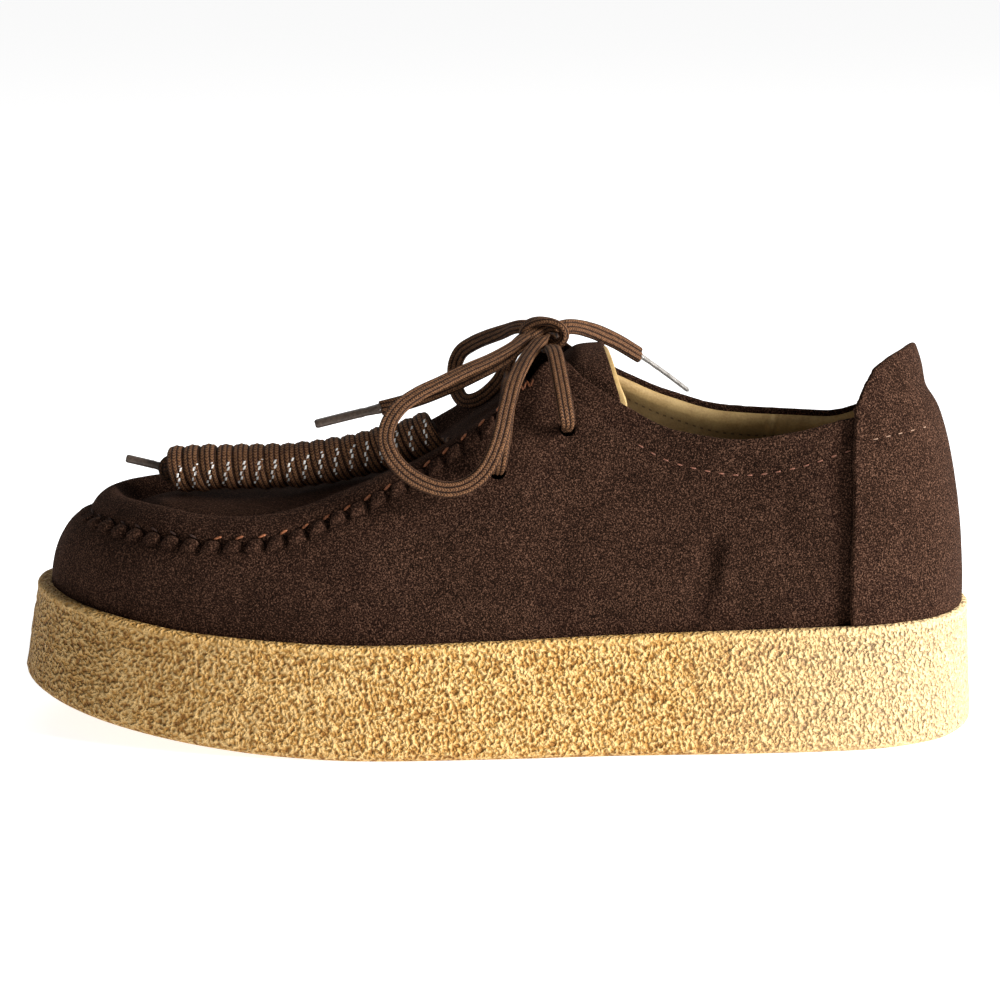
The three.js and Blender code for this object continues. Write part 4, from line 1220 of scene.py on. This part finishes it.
def makeLining():
    # the same wall further in: from its foot up to a little under the topline, padded below its edge
    angle = evenAngles(upper["liningAround"], (edgeRun + middleRun) / 2)[:, None]
    along = alongOf(angle)
    height = edgeAt(angle)[..., 2] - seatHeight(along)
    facing = smooth((along - 0.47) / 0.03) * smooth((0.61 - along) / 0.03)
    stop = 1 - mix(upper["lining"], upper["facing"], facing) / height
    around, t = np.broadcast_arrays(angle, np.linspace(0, 1, 34)[None, :] * stop)
    bare, normal = wallPoint(around, t), wallNormal(around, t)
    below = (1 - t) * height
    soft = unevenness(bare, upper["padding"]) + 0.7 * bell(below - 3, 1.9)
    x = bare[..., 0] - upper["backSeam"]
    seam = 0.8 * bell(x, 0.8) - 0.5 * bell(x - 1.8, 0.7)
    depth = shoe["wall"] + np.maximum(0, soft + seam + 0.15)
    depth[:, -1] = upper["suede"] + 0.25
    depth[:, -2] -= 0.15
    inner = bare - normal * depth[..., None]
    back = bare - normal * (upper["suede"] + 0.05)
    points = np.concatenate([back, inner[:, ::-1]], axis=1)
    quads, _ = gridFaces(*points.shape[:2], loopRows=True, loopCols=True)
    run = np.interp(angle, fineAngles, edgeRun) + 0 * below
    kept = {"below": below, "run": run}
    kept = {key: np.concatenate([value, value[:, ::-1]], axis=1).ravel() for key, value in kept.items()}
    return buildMesh("upperLining", points, [quads], attributes=kept)


def punchHoles(piece, radius):
    # four round cutters through the wall, square to it and tipped up a little
    cutters = []
    section = roundSection(24, radius, radius)
    for x, z in holes:
        for side in (-1, 1):
            angle = angleAtX(x, z, side)
            out = planOut(np.asarray(angle))
            axis = unit(np.array([out[0], out[1], 0.35]))
            path = wallAt(angle, z) + axis * np.linspace(-8, 8, 9)[:, None]
            cutters.append(sweepLace("cutter", path, (1, 0, 0), section=section))
    cutter = joinPieces("holeCutters", cutters)
    cut = piece.modifiers.new("holes", "BOOLEAN")
    cut.operation = "DIFFERENCE"
    cut.solver = "EXACT"
    cut.object = cutter
    depsgraph = bpy.context.evaluated_depsgraph_get()
    made = bpy.data.meshes.new_from_object(piece.evaluated_get(depsgraph))
    piece.modifiers.clear()
    old, piece.data = piece.data, made
    made.name = old.name.split(".")[0]
    bpy.data.meshes.remove(old)
    bpy.data.objects.remove(cutter)
    return piece


upperSuede = punchHoles(makeSkin(), upper["suedeHole"])
upperLining = punchHoles(makeLining(), upper["liningHole"])

apron = {
    "rows": 190,
    "rollSteps": 26,
    "middle": 64,
    "roll": 5.6,
    "width": 10.6,
    "peak": 3.8,
    "reach": 0.355 * shoe["ballWidth"],
    "underRoll": 0.5,
    "back": 8.3,
    "bulge": 1.7,  # how far the roll leans out over its seam
    "valley": 0.2,  # depth of the dip behind the roll, as a share of its height
    "valleyWidth": 3.6,
    "hide": [(0.3, 17, 51), (0.16, 7, 52), (0.04, 2.2, 53)],
}
# share of the top edge; crown, roll and spread of the roll's crest
apronRows = [
    (0, 0.4, 1, 1.85), (0.06, 0.95, 1.02, 1.35), (0.11, 1.18, 1.03, 1.12), (0.18, 1.14, 1.04, 1),
    (0.25, 1, 1.04, 1), (0.31, 0.5, 0.94, 1), (0.36, -0.08, 0.86, 1), (0.41, -0.62, 0.62, 1),
    (0.47, -0.6, 0.34, 1), (0.51, -0.45, 0.14, 1),
]
crownAt, rollAt, spreadAt = [column(apronRows, k) for k in (1, 2, 3)]


def inward(angle):
    # square to the seam round the toe, then straight across the shoe
    step = edgeAt(angle + 0.01) - edgeAt(angle - 0.01)
    across = edgeAt(-angle) - edgeAt(angle)
    across[..., 2] = 0
    square = unit(np.stack([-step[..., 1], step[..., 0], 0 * step[..., 0]], -1))
    share = smooth((alongOf(angle) - 0.04) / 0.2)[..., None]
    return unit(square * (1 - share) + unit(across) * share)


def apronLift(along, distance, climb, under):
    # roll height * (crown (1 - (1 - distance / reach)^2.2) + roll * climb - the dip's bell behind it)
    crown = 1 - (1 - clamp01(distance / apron["reach"])) ** 2.2
    bead = rollAt(along) * climb * (apron["underRoll"] if under else 1)
    dip = apron["valley"] * rollAt(along) * bell(distance - apron["width"] - 0.6, apron["valleyWidth"])
    return apron["roll"] * (crownAt(along) * crown + bead - dip) - (shoe["wall"] if under else 0)


def rollSide(angle, under):
    # from the seam over the rolled rim to its inner foot: a quarter sine up, a squared cosine down
    along = alongOf(angle)
    half = apron["rollSteps"] // 2
    far = apron["width"] - apron["peak"]
    share = np.concatenate([np.linspace(0, 1, half) ** 1.5, np.ones(half)])[None, :]
    past = np.concatenate([np.zeros(half), np.linspace(0, far, half + 1)[1:]])[None, :]
    distance = share * (apron["peak"] * spreadAt(along)) + past
    climb = np.where(past > 0, np.cos(math.pi / 2 * past / far) ** 2, np.sin(math.pi / 2 * share))
    level = edgeAt(angle) + inward(angle) * distance[..., None]
    points = level.copy()
    points[..., 2] += apronLift(along, distance, climb, under)
    bulge = apron["bulge"] * mix(0.3, 1, smooth(along / 0.07))
    bulge = bulge * np.sin(math.pi * climb) * (past == 0) * rollAt(along) * (0 if under else 1)
    return level, distance, points - inward(angle) * bulge[..., None]


def apronSheet(angle, under):
    # both rolled rims, and straight rungs between their inner feet that rise with the crown
    near, far = rollSide(angle, under), rollSide(-angle, under)
    a, b = near[0][:, -1:], far[0][:, -1:]
    share = np.linspace(0, 1, apron["middle"] + 2)[None, 1:-1]
    level = a + (b - a) * share[..., None]
    distance = near[1][:, -1:] + np.minimum(share, 1 - share) * np.linalg.norm(b - a, axis=-1)
    level[..., 2] += apronLift(alongOf(angle), distance, 0, under)
    return np.concatenate([near[2], level, far[2][:, ::-1]], axis=1)


def apronCreases(points):
    # the soft fold behind the toe's roll, and shallow dents where the foot bends the vamp
    x, y = points[..., 0], points[..., 1]
    return 1.3 * bell(x + 99 + 0.25 * y, 4.5) * bell(y + 11, 12) - 0.5 * bell(x + 22, 5) * bell(y, 26)


def makeApron():
    # rows across the shoe from seam to seam, one for each angle: a closed plate, its edge let into the wall
    last = float(angleOf((apron["back"] - shoe["seamToe"]) / (shoe["collarHeel"] - shoe["seamToe"])))
    angle = evenAngles(apron["rows"], edgeRun, 0, last, closed=False)[:, None]
    top, bottom = apronSheet(angle, False), apronSheet(angle, True)
    top[..., 2] += unevenness(top, apron["hide"]) + apronCreases(top)

    def letIn(at, lift):
        # a point in the middle of the wall just under its edge, moved out by lift
        return wallPoint(at, 0.96) + wallNormal(at, 0.96) * (lift - shoe["wall"] / 2)

    outside = [letIn(angle, 0.5), top, letIn(-angle, 0.5)]
    rings = np.concatenate(outside + [letIn(-angle, -0.5), bottom[:, ::-1], letIn(angle, -0.5)], axis=1)
    rows, cols = rings.shape[:2]
    quads, _ = gridFaces(rows, cols, loopCols=True)
    # the first row is folded on itself and needs no cap; the last one gets a middle point
    points = np.vstack([rings.reshape(-1, 3), rings[-1].mean(axis=0, keepdims=True)])
    back = capFaces(np.arange(cols) + (rows - 1) * cols, rows * cols, True)
    return buildMesh("apron", points, [quads, back])


apronPiece = makeApron()
finishPiece(upperSuede, suede, "suede", "upper")
finishPiece(upperLining, sewnLining, "footbed")
finishPiece(apronPiece, suede, "suede")

print("heel counter")
counter = {
    "front": 100,
    "wall": 2,
    "tab": 111,
    "around": 230,
    "up": 96,
    "lie": 1.3 * shoe["gap"],  # how far it stands off the upper
    "hide": [(0.25, 16, 62), (0.1, 6, 63), (0.05, 1.8, 64)],
}
# round from the front edge to the back; outer and inner height as shares of the tab's height
tabRows = [
    (0, 0.866, 0.752), (0.035, 0.897, 0.752), (0.08, 0.928, 0.755), (0.15, 0.958, 0.765),
    (0.22, 0.972, 0.785), (0.3, 0.981, 0.83), (0.42, 0.99, 0.882), (0.54, 0.996, 0.914),
    (0.7, 1, 0.948), (0.86, 0.997, 0.97), (1, 0.987, 0.987),
]


def counterGrid():
    # from the outer front edge round the heel to the inner one, and from the rim up to the tab's outline
    bend = np.linspace(-1, 1, counter["around"])[:, None]
    side = np.where(bend < 0, -1.0, 1.0)
    high = [column(tabRows, k)(1 - np.abs(bend)) for k in (1, 2)]
    top = counter["tab"] * np.where(side < 0, high[0], high[1])
    z = mix(shoe["heelHeight"] + shoe["gap"], top, np.linspace(0, 1, counter["up"])[None, :])
    wave = 0.14 * np.sin(z / 5.2 + 1) + 0.07 * np.sin(z / 2.3)
    wave = wave + 0.12 * lumps(np.stack([z, z * 0, z * 0 + side], -1), 0.9, 61)
    fronts = angleAtX(counter["front"] + wave, z, side + 0 * z)
    return z, np.abs(bend), wallAt(mix(math.pi, fronts, np.abs(bend)), z)


def gridNormals(grid):
    # step along the rows x step along the columns
    return unit(np.cross(np.gradient(grid, axis=0), np.gradient(grid, axis=1)))


def roundedPlate(grid, near, far, rim=5):
    # a plate between two distances from a surface; its free edges are rounded in half circles all round
    normal = gridNormals(grid)
    half, middle = (far - near) / 2, (far + near) / 2
    across = unit(np.gradient(grid, axis=0))
    up = unit(np.gradient(grid, axis=1))
    out = np.zeros(grid.shape)
    out[0] -= across[0]
    out[-1] += across[-1]
    out[:, 0] -= up[:, 0]
    out[:, -1] += up[:, -1]
    rows, cols = grid.shape[:2]
    # the border's points, in order round the grid
    border = np.concatenate([
        np.arange(cols), np.arange(1, rows) * cols + cols - 1,
        (rows - 1) * cols + np.arange(cols - 2, -1, -1), np.arange(rows - 2, 0, -1) * cols,
    ])
    edgeOut, edgeNormal, edge = [k.reshape(-1, 3)[border] for k in (unit(out), normal, grid)]
    rounds = [
        edge + edgeNormal * (middle + half * math.cos(b)) + edgeOut * half * 0.8 * math.sin(b)
        for b in np.linspace(0, math.pi, rim + 2)[1:-1]
    ]
    points = np.vstack([(grid + normal * k).reshape(-1, 3) for k in (far, near)] + rounds)
    count, size = rows * cols, len(border)
    quads, _ = gridFaces(rows, cols, loopCols=False)
    rings = [border] + [2 * count + k * size + np.arange(size) for k in range(rim)] + [border + count]
    bands = [np.stack([a, np.roll(a, -1), np.roll(b, -1), b], 1) for a, b in zip(rings[:-1], rings[1:])]
    return points, [quads, quads[:, ::-1] + count] + bands


def makeCounter():
    # the grid moved out by the hide's unevenness, a raised front edge and less where the tab bends
    z, bend, grid = counterGrid()
    lift = 0.35 * bell(1 - bend, 0.03) - 1.5 * bell(z - 99.5, 5) * bell(bend, 0.42)
    lift = unevenness(grid, counter["hide"]) * 0.5 + 0.2 + lift
    points, faces = roundedPlate(
        grid + gridNormals(grid) * lift[..., None], counter["lie"], counter["lie"] + counter["wall"]
    )
    return buildMesh("heelCounter", points, faces)


finishPiece(makeCounter(), suedeEdge, "suede", "heel_counter")

print("tongue and footbed")
tongue = {
    "start": -6,
    "end": 30.2,
    "sweep": 7,  # how far the sides of its top edge reach back
    "clear": 2,  # from the flaps
    "rows": 54,
    "across": 90,
    "hide": [(0.12, 8, 71), (0.04, 2.2, 72)],
    "lining": 1.5,  # how far the lining shows past the suede
}
# share of the tongue's length; height, half width and drop of the sides
tongueRows = [
    (0, 0.765, 0.33, 0.1), (0.14, 0.79, 0.335, 0.13), (0.397, 0.872, 0.34, 0.15), (0.535, 0.926, 0.34, 0.16),
    (0.672, 0.97, 0.33, 0.18), (0.819, 1.001, 0.305, 0.19), (1, 1.008, 0.3, 0.225),
]


def tongueGrid(beyond=0.0):
    # an arch, height * (high - drop |side|^2.6), that goes on from the apron under the flaps; its half width
    # is the soft least, (a^-16 + b^-16)^(-1/16), of its own and of the room inside the wall
    u = np.linspace(0, 1, tongue["rows"])[:, None]
    side = np.linspace(-1, 1, tongue["across"])[None, :]
    high, half, drop = [column(tongueRows, k)(u) for k in (1, 2, 3)]
    end = tongue["end"] + tongue["sweep"] * side ** 2 + beyond * smooth((0.5 - side) / 0.6)
    x = mix(tongue["start"], end, u)
    y = shoe["ballWidth"] * half * side + 0 * x
    z = shoe["collarHeight"] * (high - drop * np.abs(side) ** 2.6) + 0 * x
    angle = angleAtX(x, np.minimum(z, 96), np.sign(side) + 0 * x)
    top = edgeAt(angle)[..., 2]
    room = np.abs(wallAt(angle, np.minimum(z, top))[..., 1]) - shoe["wall"] - tongue["clear"]
    y = np.sign(side) * (np.maximum(np.abs(y), 0.001) ** -16.0 + np.maximum(room, 10) ** -16) ** (-1 / 16)
    return np.stack([x, y, z], -1)


def makeTongue():
    # suede over a lining that shows a little past its edge
    grid = tongueGrid()
    grid = grid + gridNormals(grid) * unevenness(grid, tongue["hide"])[..., None]
    finishPiece(buildMesh("tongueSuede", *roundedPlate(grid, -1.2, 0)), suede, "suede", "tongue")
    back = roundedPlate(tongueGrid(tongue["lining"]), -2.5, -1.25)
    finishPiece(buildMesh("tongueLining", *back), lining, "footbed")


makeTongue()

footbed = {"thick": 4, "rows": 150, "across": 60, "dish": 1.6, "plate": 2.4}


def makeFootbed():
    # rungs from the outer to the inner side, dished by 1 - (2 share - 1)^4, with a rounded rim
    angle = np.linspace(0.03, math.pi - 0.03, footbed["rows"])[:, None]
    base = seatHeight(alongOf(angle)) + shoe["gap"]
    a, b = [planAt(k, featherInset(k) + shoe["wall"] + 0.9, base) for k in (angle, -angle)]
    share = (1 - np.cos(np.linspace(0, math.pi, footbed["across"])))[None, :] / 2
    grid = a + (b - a) * share[..., None]
    grid[..., 2] += footbed["thick"] - footbed["dish"] * (1 - (2 * share - 1) ** 4) * np.sin(angle) ** 0.5
    grid[..., 2] += 0.12 * lumps(grid, 12, 81)
    made = buildMesh("footbed", *roundedPlate(grid, -footbed["plate"], 0))
    finishPiece(made, footbedLeather, "footbed", "insole")


makeFootbed()

print("stitches")
stitches = {
    "rings": 7,
    "sides": 8,
    "sink": 0.25,  # how far the ends dip, as a share of the radius
    "collarPitch": 3.5,
    "collarBelow": 8.4,
    "collar": (1.7, 0.24),  # length and radius of one stitch
    "counterBelow": 5.6,
    "seamPitch": 6.4,
    "seam": (2.5, 0.38),
    "toe": (2.3, 0.3),
    "tack": (2.2, 0.27),
    "lowOut": 2.2,
    "highOut": 1.15,
}


def stitchRow(name, rows, size, material):
    # one short capsule for each place, sunk a little into the suede: centre + ahead * at * half length
    # + (side cos + normal sin) radius (1 - at^4)^(1/2); rows are centres, directions and normals
    centre, ahead, normal = [np.concatenate(part) for part in zip(*rows)]
    (length, radius), sides = size, stitches["sides"]
    at = np.linspace(-1, 1, stitches["rings"])
    girth = radius * np.sqrt(np.maximum(0.06, 1 - at ** 4))[:, None]
    angle = np.arange(sides) * turn / sides
    rise = girth * np.sin(angle)[None] - stitches["sink"] * radius * at[:, None] ** 2
    body = (
        centre[:, None, None]
        + ahead[:, None, None] * (at * length / 2)[None, :, None, None]
        + np.cross(ahead, normal)[:, None, None] * (girth * np.cos(angle)[None])[None, ..., None]
        + normal[:, None, None] * rise[None, ..., None]
    )
    count, per = len(centre), len(at) * sides
    ends = np.stack([centre - ahead * length / 2, centre + ahead * length / 2], 1)
    points = np.concatenate([body.reshape(count, per, 3), ends], axis=1)
    quads, _ = gridFaces(len(at), sides)
    first = np.arange(sides)
    caps = np.vstack([capFaces(first, per, True), capFaces(first + per - sides, per + 1, False)])[:, ::-1]
    shift = (np.arange(count) * (per + 2))[:, None, None]
    faces = [(quads[None] + shift).reshape(-1, 4), (caps[None] + shift).reshape(-1, 3)]
    finishPiece(buildMesh(name, points, faces), material, "suede")


def placeOf(along):
    # millimetres along the top edge from the toe, on the outer side
    return float(np.interp(float(angleOf(along)), fineAngles, edgeRun))


def collarStitches(side):
    # on the skin, under the topline from the flaps to the counter
    first, last = (0.655, 0.89) if side < 0 else (0.89, 0.655)
    angles = [float(angleOf(k)) for k in (first, last)]
    start, end = np.interp(angles if side < 0 else [turn - k for k in angles], fineAngles, edgeRun)
    count = int(abs(end - start) / stitches["collarPitch"])
    angle = np.interp(np.linspace(start, end, count), edgeRun, fineAngles)
    height = edgeAt(angle)[:, 2] - seatHeight(alongOf(angle))
    t = 1 - stitches["collarBelow"] / (height * 1.02)
    bare, normal = wallPoint(angle, t), wallNormal(angle, t)
    place = bare + normal * (skinRelief(angle, t, bare) + 0.1)[..., None]
    return place, unit(np.gradient(place, axis=0)), normal


def seamStitches(side, first, last, slant, drop):
    # slanting over the seam from a first to a last place along it, further out where the rolled rim overhangs
    place = np.arange(first, last, stitches["seamPitch"])
    angle = np.interp(place if side < 0 else edgeRun[-1] - place, edgeRun, fineAngles)
    normal = wallNormal(angle, 0.97)
    along = -side * unit(edgeAt(angle + 0.01) - edgeAt(angle - 0.01))
    up = np.array([0.0, 0.0, 1.0])
    low = stitches["lowOut"] * mix(0.3, 1, smooth(alongOf(angle) / 0.09))
    out = mix(low, stitches["highOut"], smooth((alongOf(angle) - 0.22) / 0.1))[:, None]
    return edgeAt(angle) + normal * out + up * drop, unit(along + up * slant), normal


def tackStitches(side):
    # a bar tack below the flap's corner: a zigzag of five short stitches
    x = np.linspace(5.6, 10.4, 6)
    z = np.linspace(101.4, 103.4, 6) + np.array([-1, 1, -1, 1, -1, 1]) * 1.1
    place = wallAt(angleAtX(x, z, side), z)
    middle, step = (place[1:] + place[:-1]) / 2, unit(place[1:] - place[:-1])
    normal = wallNormal(angleAtX(middle[:, 0], middle[:, 2], side), 0.95)
    return middle + normal * 0.5, step, normal


def counterStitches(side):
    # a short row across the counter, following the topline
    x = np.arange(105, 122, stitches["collarPitch"])
    z = edgeAt(angleAtX(x, 84, side))[:, 2] - stitches["counterBelow"]
    angle = angleAtX(x, z, side)
    normal = planOut(angle)
    place = wallAt(angle, z) + normal * (counter["lie"] + counter["wall"] + 0.2)
    return place, unit(np.gradient(place, axis=0)), normal


bothSides = (-1, 1)
reach, end = placeOf(0.17), placeOf(0.5)
stitchRow("collarStitches", [collarStitches(k) for k in bothSides], stitches["collar"], plain["collarThread"])
seamRows = [seamStitches(k, reach, end, 0.3, 0.2) for k in bothSides]
stitchRow("seamStitches", seamRows, stitches["seam"], plain["rustThread"])
toeRows = [seamStitches(k, 8, reach - 4, -0.4, 0.1) for k in bothSides]
stitchRow("toeStitches", toeRows, stitches["toe"], plain["darkThread"])
stitchRow("tackStitches", [tackStitches(k) for k in bothSides], stitches["tack"], plain["rustThread"])
stitchRow("counterStitches", [counterStitches(k) for k in bothSides], stitches["collar"], plain["tanThread"])

print("floor")


def makeFloor():
    # a plain rectangle of pale paper, in metres
    data = bpy.data.meshes.new("floor")
    data.from_pydata([(-9, -3, 0), (9, -3, 0), (9, 14, 0), (-9, 14, 0)], [], [(0, 1, 2, 3)])
    floor = bpy.data.objects.new("floor", data)
    scene.collection.objects.link(floor)
    material, _, _ = nodeMaterial("floorPaper", {
        "Base Color": (*studio["floor"], 1),
        "Roughness": 0.9,
        "Specular IOR Level": 0.1,
        "Emission Color": (1, 1, 1, 1),
        "Emission Strength": studio["floorGlow"],
    })
    data.materials.append(material)


makeFloor()
